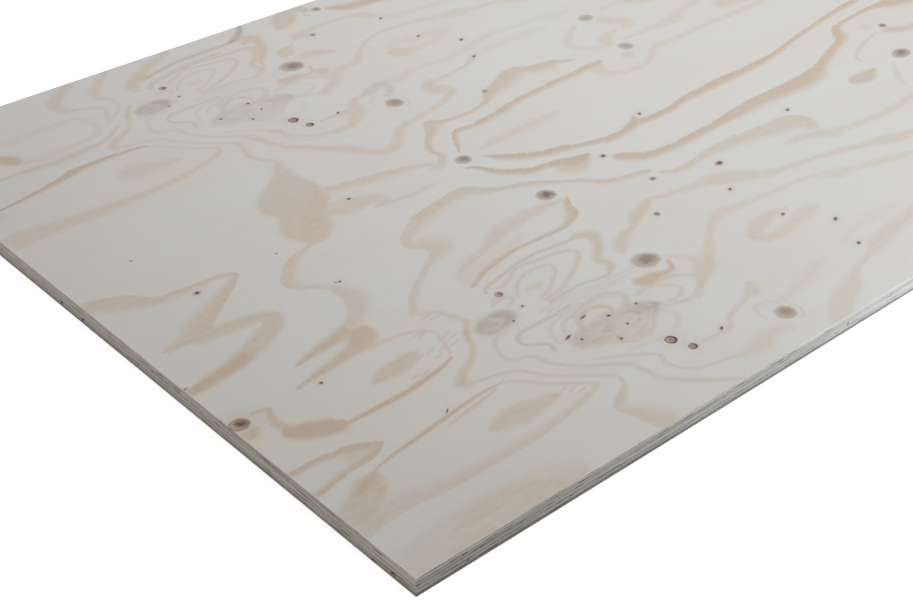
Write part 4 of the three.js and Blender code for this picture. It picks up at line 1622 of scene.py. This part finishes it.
@dataclass(frozen=True)
class BakeMap:
    """Lays a veneer's faces out flat on the map that its finish is baked to.

    Attributes:
        slab: The veneer's block.
        run: How much of an edge lies in one row of the map, in metres.
        edge_share: How much of the map's height the rows of edges take.
        shows: 1 if the top shows, -1 if the underside does, 0 if neither does.
        gap: The share of a row that is left empty.
        margin: How much of the map is left empty round its rim.
        hidden_share: How much of the map's height the hidden skins take.
        wall_start: Where the knot holes' walls begin across the map.
        wall_cell: How much of the map one face of such a wall takes.
        wall_columns: How many of those lie side by side.
        name: The map's name.
    """

    slab: Slab
    run: float
    edge_share: float
    shows: int
    gap: float = 0.2
    margin: float = 0.002
    hidden_share: float = 0.008
    wall_start: float = 0.9
    wall_cell: float = 0.004
    wall_columns: int = 24
    name: str = "OFBake"

    def write(self, piece: bpy.types.Object, hole_slot: int) -> None:
        """Gives a piece its map.

        Args:
            piece: The veneer.
            hole_slot: The material slot of the knot holes' walls.
        """
        mesh = piece.data
        for layer in list(mesh.uv_layers):
            mesh.uv_layers.remove(layer)
        layer = mesh.uv_layers.new(name=self.name)
        corner = mesh_numbers(mesh.loops, "vertex_index", 1, np.int32)
        sides = mesh_numbers(mesh.polygons, "loop_total", 1, np.int32)
        face = np.repeat(np.arange(len(sides)), sides)
        place = mesh_numbers(mesh.vertices, "co", 3)[corner] - np.array(self.slab.low)
        normal = mesh_numbers(mesh.polygons, "normal", 3)
        middle = mesh_numbers(mesh.polygons, "center", 3) - np.array(self.slab.low)
        slot = mesh_numbers(mesh.polygons, "material_index", 1, np.int32)
        uv = self.flat_faces(place, normal[face])
        rows = self.edge_rows()
        for number, (axis, sign) in enumerate(((1, -1), (0, 1), (1, 1), (0, -1))):
            on_edge = (normal[:, axis] * sign > 0.75)[face]
            uv[on_edge] = self.edge_faces(place[on_edge], middle[face[on_edge]], 1 - axis, rows[number])
        for count, wall in enumerate(np.nonzero(slot == hole_slot)[0]):
            mine = face == wall
            uv[mine] = self.hole_wall(count, int(mine.sum()))
        layer.data.foreach_set("uv", uv.astype(np.float32).ravel())

    def edge_rows(self) -> list[int]:
        """Returns the first row of each edge, and last the number of rows."""
        rows = [0]
        for axis in (0, 1, 0, 1):
            rows.append(rows[-1] + max(1, round(self.slab.size[axis] / self.run)))
        return rows

    def flat_faces(self, place: np.ndarray, normal: np.ndarray) -> np.ndarray:
        """Lays out the top and the underside: the one that shows large, the hidden one small.

        Args:
            place: Each corner's place, from the block's lowest corner.
            normal: The way that its face points.

        Returns:
            Where each corner goes on the map.
        """
        size = np.array(self.slab.size)
        share = place[:, :2] / size[:2]
        across = self.margin + share[:, 0] * (1 - 2 * self.margin)
        floor = self.edge_share + self.hidden_share
        hidden = self.edge_share + self.margin / 4 + share[:, 1] * self.hidden_share / 2
        if self.shows == 0:
            other = floor + share[:, 1] * self.hidden_share / 2
            return np.column_stack([across * self.wall_start, np.where(normal[:, 2] > 0, other, hidden)])
        shown = floor + self.margin + share[:, 1] * (1 - floor - 2 * self.margin)
        return np.column_stack([across, np.where(normal[:, 2] * self.shows > 0.1, shown, hidden)])

    def edge_faces(self, place: np.ndarray, middle: np.ndarray, axis: int, first: int) -> np.ndarray:
        """Lays out an edge, cut into runs of equal length that have a row of the map each.

        Args:
            place: Each corner's place, from the block's lowest corner.
            middle: The middle of its face.
            axis: The axis that the edge runs along.
            first: The edge's first row.

        Returns:
            Where each corner goes on the map.
        """
        count = max(1, round(self.slab.size[axis] / self.run))
        length = self.slab.size[axis] / count
        part = np.clip((middle[:, axis] / length).astype(int), 0, count - 1)
        height = self.edge_share / self.edge_rows()[-1]
        along = self.margin + (place[:, axis] - part * length) / length * (1 - 2 * self.margin)
        up = place[:, 2] / self.slab.size.z
        return np.column_stack([along, (first + part + self.gap / 2 + up * (1 - self.gap)) * height])

    def hole_wall(self, count: int, corners: int) -> np.ndarray:
        """Gives one face of a knot hole's wall a small cell of its own.

        Args:
            count: The face's number.
            corners: How many corners it has.

        Returns:
            Where each corner goes on the map.
        """
        row, column = divmod(count, self.wall_columns)
        step = self.wall_cell * 0.95
        base = np.array([self.wall_start + 0.005 + column * step, self.edge_share + 0.001 + row * step])
        turn = np.linspace(0, 2 * math.pi, corners, endpoint=False)
        return base + self.wall_cell * 0.4 * np.column_stack([1 + np.cos(turn), 1 + np.sin(turn)])


# ------------------------------------------------------------------------------------------------
# The veneers
# ------------------------------------------------------------------------------------------------


# The material slot of the knot holes' walls, after the skins', the long edges' and the short edges'.
HOLE_SLOT = 3


@dataclass(frozen=True)
class KnotHole:
    """A knot hole that the saw has opened at an edge, in millimetres.

    Attributes:
        along: Its centre, along the sheet from the reference corner.
        across: Its centre, across the sheet.
        width: Its width across its veneer's grain.
        depth: How deep it is from the veneer's upper skin, if it doesn't go right through.
    """

    along: float
    across: float
    width: float
    depth: float | None = None


@dataclass
class Veneer:
    """One veneer of the sheet.

    Attributes:
        node: The CAD node that it replaces.
        name: The piece's name.
        slot: The record's material slot; not used.
        grain: The way that its grain runs.
        long_edge: The finish of the two edges that run along the sheet.
        short_edge: The finish of the two that run across it.
        knot_holes: The knot holes at its edges.
        hole_wall: The finish inside them.
        glue_groove: How far its rim is set back where it meets the next veneer, in metres.
        knot_stretch: How many times longer than wide a knot hole is.
        slab: The veneer's block of wood.
    """

    node: str
    name: str
    slot: str
    grain: Axis
    long_edge: SawnEdge
    short_edge: SawnEdge
    knot_holes: tuple[KnotHole, ...] = ()
    hole_wall: KnotHoleWall = KnotHoleWall()
    glue_groove: float = 0.00012
    knot_stretch: float = 1.6
    slab: Slab = field(init=False)

    def __post_init__(self) -> None:
        """Reads the veneer's block from its CAD node."""
        self.slab = Slab.of_node(self.node)

    def build(self) -> bpy.types.Object:
        """Models and dresses the veneer.

        Returns:
            The finished piece.
        """
        piece = self.shape()
        self.cut_knot_holes(piece)
        self.dress(piece)
        self.bake_map().write(piece, HOLE_SLOT)
        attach(piece, BODY)
        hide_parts(self.node)
        LOG.info("%s: %d faces", piece.name, len(piece.data.polygons))
        return piece

    def shape(self) -> bpy.types.Object:
        """Returns the veneer's block, a little set back along both glue lines."""
        piece = self.slab.gridded(self.name, 8, 4)
        for upward in (True, False):
            self.slab.merge_faces(piece, upward)
        for level in (self.slab.low.z, self.slab.high.z):
            self.slab.bevel_rim(piece, level, self.glue_groove, 1)
        return piece

    def cut_knot_holes(self, piece: bpy.types.Object) -> None:
        """Cuts the knot holes with upright oval tools."""
        for hole in self.knot_holes:
            radii = [hole.width / 2 * MM] * 2
            radii[self.grain.value] *= self.knot_stretch
            top = self.slab.high.z + MM
            floor = self.slab.low.z - MM if hole.depth is None else self.slab.high.z - hole.depth * MM
            place = (self.slab.low.x + hole.along * MM, self.slab.low.y + hole.across * MM, (top + floor) / 2)
            bpy.ops.mesh.primitive_cylinder_add(vertices=24, radius=1.0, depth=top - floor, location=place)
            tool = bpy.context.object
            tool.scale = (*radii, 1.0)
            apply_place(tool)
            tool.data.materials.append(None)
            only(piece)
            cut = piece.modifiers.new("knot_hole", "BOOLEAN")
            cut.operation = "DIFFERENCE"
            cut.object = tool
            cut.solver = "EXACT"
            bpy.ops.object.modifier_apply(modifier=cut.name)
            bpy.data.objects.remove(tool)

    def flat_finish(self) -> bpy.types.Material:
        """Returns the finish of the veneer's two skins."""
        return GluedSkin().material(f"{self.name}_skin")

    def dress(self, piece: bpy.types.Object) -> None:
        """Gives the skins, the long edges, the short edges and the knot holes their finishes."""
        mesh = piece.data
        mesh.materials.clear()
        mesh.materials.append(self.flat_finish())
        edges = ((self.long_edge, Axis.ALONG, "long"), (self.short_edge, Axis.ACROSS, "short"))
        for finish, run, word in edges:
            end_grain = run is not self.grain
            name = f"{self.name}_{word}_edge"
            mesh.materials.append(finish.material(name, run, end_grain, self.slab))
        mesh.materials.append(self.hole_wall.material(f"{self.name}_knot_hole"))
        normals = mesh_numbers(mesh.polygons, "normal", 3)
        middles = mesh_numbers(mesh.polygons, "center", 3)
        slots = np.zeros(len(normals), np.int32)
        upright = np.abs(normals[:, 2]) < UPRIGHT
        low, high = np.array(self.slab.low), np.array(self.slab.high)
        near_side = np.minimum(middles - low, high - middles) < MM
        slots[upright] = HOLE_SLOT
        slots[upright & (np.abs(normals[:, 1]) > 0.6) & near_side[:, 1]] = 1
        slots[upright & (np.abs(normals[:, 0]) > 0.6) & near_side[:, 0]] = 2
        slots[self.skin_faces(normals)] = 0
        mesh.polygons.foreach_set("material_index", slots)
        mesh.update()

    def skin_faces(self, normals: np.ndarray) -> np.ndarray:
        """Returns which faces have a skin's finish."""
        return np.abs(normals[:, 2]) > UPRIGHT

    def bake_map(self) -> BakeMap:
        """Returns how the veneer lies on its map: edges only, in short runs."""
        return BakeMap(self.slab, run=0.305, edge_share=0.96, shows=0)


@dataclass
class OuterVeneer(Veneer):
    """A veneer whose outer skin shows, with its figure.

    Attributes:
        figure: What makes its figure.
        face: The finish of its outer skin.
        upward: Whether its outer skin is the top one.
        arris: How far the sheet's arris is eased, in metres.
        sink: How far a black pin is sunk in the skin, in metres.
        reader: What reads the figure.
        cells: How fine the outer skin's mesh can be.
    """

    figure: Callable[[], Figure] = face_figure
    face: PeeledFace = PeeledFace()
    upward: bool = True
    arris: float = 0.0005
    sink: float = 0.00035
    reader: FigureReader = field(init=False)
    cells: Cells = field(init=False)

    def __post_init__(self) -> None:
        """Reads the veneer's block and its figure."""
        super().__post_init__()
        self.reader = FigureReader(self.figure())
        self.cells = Cells(self.slab.size.x / MM, self.slab.size.y / MM)

    def shape(self) -> bpy.types.Object:
        """Returns the block with its arris eased and its outer skin as fine as the figure asks."""
        piece = self.slab.gridded(self.name, self.cells.columns, self.cells.rows)
        self.slab.merge_faces(piece, not self.upward)
        outer, inner = self.slab.high.z, self.slab.low.z
        if not self.upward:
            outer, inner = inner, outer
        self.slab.bevel_rim(piece, outer, self.arris, 3)
        self.slab.bevel_rim(piece, inner, self.glue_groove, 1)
        finest = self.cells.size(self.cells.levels - 1)
        wanted = self.reader.wanted_cells(self.cells.length, self.cells.width, finest)
        self.cells.refine(piece, self.slab, self.upward, self.cells.plan(wanted))
        return piece

    def dress(self, piece: bpy.types.Object) -> None:
        """Finishes the edges and skins, then writes the figure to the mesh and sinks the knots."""
        super().dress(piece)
        mesh = piece.data
        places = mesh_numbers(mesh.vertices, "co", 3)
        points = self.slab.in_sheet(places)
        knots, push = self.reader.knots_at(points)
        grain = places.copy()
        grain[:, 1] += push * MM
        for name, numbers in (self.reader.shades(points) | knots | {GRAIN: grain}).items():
            self.store(mesh, name, numbers)
        outer = self.slab.high.z if self.upward else self.slab.low.z
        on_skin = np.abs(places[:, 2] - outer) < TINY
        core, ring = knots[KNOT_TONE][:, 1], knots[KNOT_PLACE][:, 2]
        drop = self.sink * core * (1 - smooth_step(0.3, 0.9, ring)) * on_skin
        places[:, 2] += drop * (-1 if self.upward else 1)
        mesh.vertices.foreach_set("co", places.ravel())
        mesh.update()

    def store(self, mesh: bpy.types.Mesh, name: str, numbers: np.ndarray) -> None:
        """Writes one attribute, of one or three numbers, at every vertex of a mesh."""
        kind, key = ("FLOAT", "value") if numbers.ndim == 1 else ("FLOAT_VECTOR", "vector")
        attribute = mesh.attributes.new(name, kind, "POINT")
        attribute.data.foreach_set(key, numbers.astype(np.float32).ravel())

    def flat_finish(self) -> bpy.types.Material:
        """Returns the finish of the outer skin."""
        return self.face.material(f"{self.name}_skin")

    def skin_faces(self, normals: np.ndarray) -> np.ndarray:
        """Returns which faces have a skin's finish: the sanded arris too."""
        outward = normals[:, 2] if self.upward else -normals[:, 2]
        return (outward > 0.5) | (outward < -UPRIGHT)

    def bake_map(self) -> BakeMap:
        """Returns how the veneer lies on its map: the outer skin nearly fills it."""
        return BakeMap(self.slab, run=2.5, edge_share=0.05, shows=1 if self.upward else -1)


# ------------------------------------------------------------------------------------------------
# The sheet
# ------------------------------------------------------------------------------------------------

TAN, BROWN = (0.36, 0.27, 0.17), (0.20, 0.12, 0.075)


@dataclass
class PlywoodSheet:
    """The whole sheet, from the underside up."""

    def veneers(self) -> list[Veneer]:
        """Returns its five veneers."""
        return [
            # The back veneer's edges take far darker tones than the other veneers', so the edges are darker towards the
            # bottom of the sheet.
            OuterVeneer(
                "back_veneer", "back_veneer_dressed", "back", Axis.ALONG,
                long_edge=SawnEdge((0.24, 0.233, 0.222), (EdgeMark(1180, 2.6, (9, 1.6), BROWN),)),
                short_edge=SawnEdge((0.375, 0.36, 0.345), (EdgeMark(30, 4.5, (24, 5.0), TAN, 0.45),)),
                knot_holes=(KnotHole(0, 68, 7, depth=3.2),),
                figure=back_figure,
                upward=False,
                face=PeeledFace(ground=(0.66, 0.63, 0.57), warm_ground=(0.64, 0.59, 0.52)),
            ),
            Veneer(
                "lower_crossband", "lower_crossband_dressed", "crossband", Axis.ACROSS,
                long_edge=SawnEdge(
                    (0.445, 0.436, 0.42),
                    (EdgeMark(71, 7.6, (3.5, 0.8)), EdgeMark(222, 8.9, (4, 0.8)), EdgeMark(689, 8.6, (4, 0.8))),
                ),
                short_edge=SawnEdge((0.545, 0.515, 0.49), (EdgeMark(28, 6.0, (22, 5.0), TAN, 0.45),)),
                knot_holes=(KnotHole(1, 36, 5), KnotHole(1, 651, 4), KnotHole(1, 703, 3.5)),
                hole_wall=KnotHoleWall(bark=(0.16, 0.11, 0.07), resin=(0.30, 0.21, 0.13)),
            ),
            Veneer(
                "core_veneer", "core_veneer_dressed", "core", Axis.ALONG,
                long_edge=SawnEdge((0.48, 0.47, 0.445), (EdgeMark(712, 11.6, (2.6, 2.2), BROWN),)),
                short_edge=SawnEdge((0.61, 0.578, 0.548)),
            ),
            Veneer(
                "upper_crossband", "upper_crossband_dressed", "crossband", Axis.ACROSS,
                long_edge=SawnEdge((0.44, 0.433, 0.41), (EdgeMark(577, 19.4, (4, 0.8)),)),
                short_edge=SawnEdge((0.67, 0.63, 0.59)),
                knot_holes=(KnotHole(66, 0, 7, depth=1.7),),
            ),
            OuterVeneer(
                "face_veneer", "face_veneer_dressed", "face", Axis.ALONG,
                long_edge=SawnEdge((0.55, 0.535, 0.505)),
                short_edge=SawnEdge((0.645, 0.605, 0.57), (EdgeMark(344, 23.6, (2.5, 0.8)),)),
            ),
        ]

    def build(self) -> None:
        """Builds the veneers in order."""
        for veneer in self.veneers():
            veneer.build()


# ------------------------------------------------------------------------------------------------
# The studio
# ------------------------------------------------------------------------------------------------


@dataclass(frozen=True)
class Lamp:
    """A soft square lamp.

    Attributes:
        name: Its name.
        place: Where it hangs, in metres.
        target: The point that it faces.
        size: Its width and height.
        power: Its power in watts.
        colour: Its colour.
    """

    name: str
    place: tuple[float, float, float]
    target: tuple[float, float, float]
    size: tuple[float, float]
    power: float
    colour: Colour = (1.0, 1.0, 1.0)

    def hang(self) -> None:
        """Adds the lamp to the scene."""
        bpy.ops.object.light_add(type="AREA", location=self.place)
        lamp = bpy.context.object
        lamp.name = self.name
        lamp.data.shape = "RECTANGLE"
        lamp.data.size, lamp.data.size_y = self.size
        lamp.data.energy = self.power
        lamp.data.color = self.colour
        aim = Vector(self.target) - Vector(self.place)
        lamp.rotation_euler = aim.to_track_quat("-Z", "Y").to_euler()


@dataclass(frozen=True)
class Studio:
    """The camera, the pale floor, the white surroundings and the lamps.

    Attributes:
        lens: The camera's focal length, in millimetres on a 36 mm wide sensor.
        eye: Where the camera is, in metres.
        heading: Which way it looks, in degrees from +X towards +Y.
        pitch: How far it looks down, in degrees.
        floor_size: The floor's side.
        floor_gap: How far the floor lies under the sheet.
        floor_glow: How brightly the floor shines, so that it looks white round its shadow.
        ambient: The strength of the surroundings' own light.
        ambient_colour: Its colour.
        lamps: The lamps.
    """

    lens: float = 63.81
    eye: tuple[float, float, float] = (-1.9835, -1.5343, 1.1719)
    heading: float = 48.477
    pitch: float = 34.087
    floor_size: float = 24.0
    floor_gap: float = 0.0002
    floor_glow: float = 0.74
    ambient: float = 0.40
    ambient_colour: Colour = (1.0, 0.95, 0.885)
    lamps: tuple[Lamp, ...] = (
        Lamp("lamp_over", (0.15, 0.17, 1.6), (0.15, 0.17, 0.0), (1.85, 2.2), 20.8, (0.97, 1.0, 1.03)),
        Lamp("lamp_side", (0.2, -1.15, 0.1), (0.2, -0.61, 0.0), (1.4, 0.2), 7.9, (0.94, 1.0, 1.09)),
    )

    def build(self) -> None:
        """Sets the studio up."""
        self.add_camera()
        self.add_floor()
        self.add_surroundings()
        for lamp in self.lamps:
            lamp.hang()
        bpy.context.scene.view_settings.view_transform = "Standard"
        LOG.info("studio: camera, floor, surroundings and %d lamps", len(self.lamps))

    def add_camera(self) -> None:
        """Adds the camera, level and without lens shift."""
        turn = (math.radians(90 - self.pitch), 0.0, math.radians(self.heading - 90))
        bpy.ops.object.camera_add(location=self.eye, rotation=turn)
        camera = bpy.context.object
        camera.name = "camera"
        camera.data.sensor_width = 36.0
        camera.data.sensor_fit = "HORIZONTAL"
        camera.data.lens = self.lens
        bpy.context.scene.camera = camera

    def add_floor(self) -> None:
        """Adds a white floor that keeps the sheet's shadow and doesn't hide it from below."""
        bpy.ops.mesh.primitive_plane_add(size=self.floor_size, location=(0.0, 0.0, -self.floor_gap))
        floor = bpy.context.object
        floor.name = "floor"
        apply_place(floor)
        graph = Graph.of_material("floor_white")
        seen = self.seen_directly(graph)
        facing = graph.node("ShaderNodeNewGeometry").outputs["Backfacing"]
        solid = graph.product(seen, graph.math("SUBTRACT", 1.0, facing))
        lit = graph.node("ShaderNodeBsdfDiffuse", {"Color": (0.8, 0.8, 0.8, 1.0)}).outputs[0]
        glow = graph.node("ShaderNodeEmission", {"Color": (1.0, 1.0, 1.0, 1.0), "Strength": self.floor_glow}).outputs[0]
        white = graph.node("ShaderNodeAddShader", {0: lit, 1: glow}).outputs[0]
        clear = graph.node("ShaderNodeBsdfTransparent").outputs[0]
        mixed = graph.node("ShaderNodeMixShader", {0: solid, 1: clear, 2: white}).outputs[0]
        graph.node("ShaderNodeOutputMaterial", {"Surface": mixed})
        floor.data.materials.append(graph.owner)

    def seen_directly(self, graph: Graph) -> Socket:
        """Returns 1 for rays that show the surroundings and 0 for those that only carry light."""
        rays = graph.node("ShaderNodeLightPath").outputs
        some = graph.math("MAXIMUM", rays["Is Camera Ray"], rays["Is Glossy Ray"])
        return graph.math("MAXIMUM", some, rays["Is Transmission Ray"])

    def add_surroundings(self) -> None:
        """Adds surroundings that look white and light the sheet softly from all sides."""
        world = bpy.data.worlds.new("surroundings")
        bpy.context.scene.world = world
        graph = Graph(world)
        seen = self.seen_directly(graph)
        colour = graph.mix(seen, self.ambient_colour, (1.0, 1.0, 1.0))
        strength = graph.smooth(seen, 0.0, 1.0, self.ambient, 1.0)
        sky = graph.node("ShaderNodeBackground", {"Color": colour, "Strength": strength})
        graph.node("ShaderNodeOutputWorld", {"Surface": sky.outputs[0]})


def main() -> None:
    """Builds the studio and the sheet."""
    logging.basicConfig(level=logging.INFO, format="%(name)s: %(message)s")
    Studio().build()
    PlywoodSheet().build()


if __name__ == "__main__":
    main()
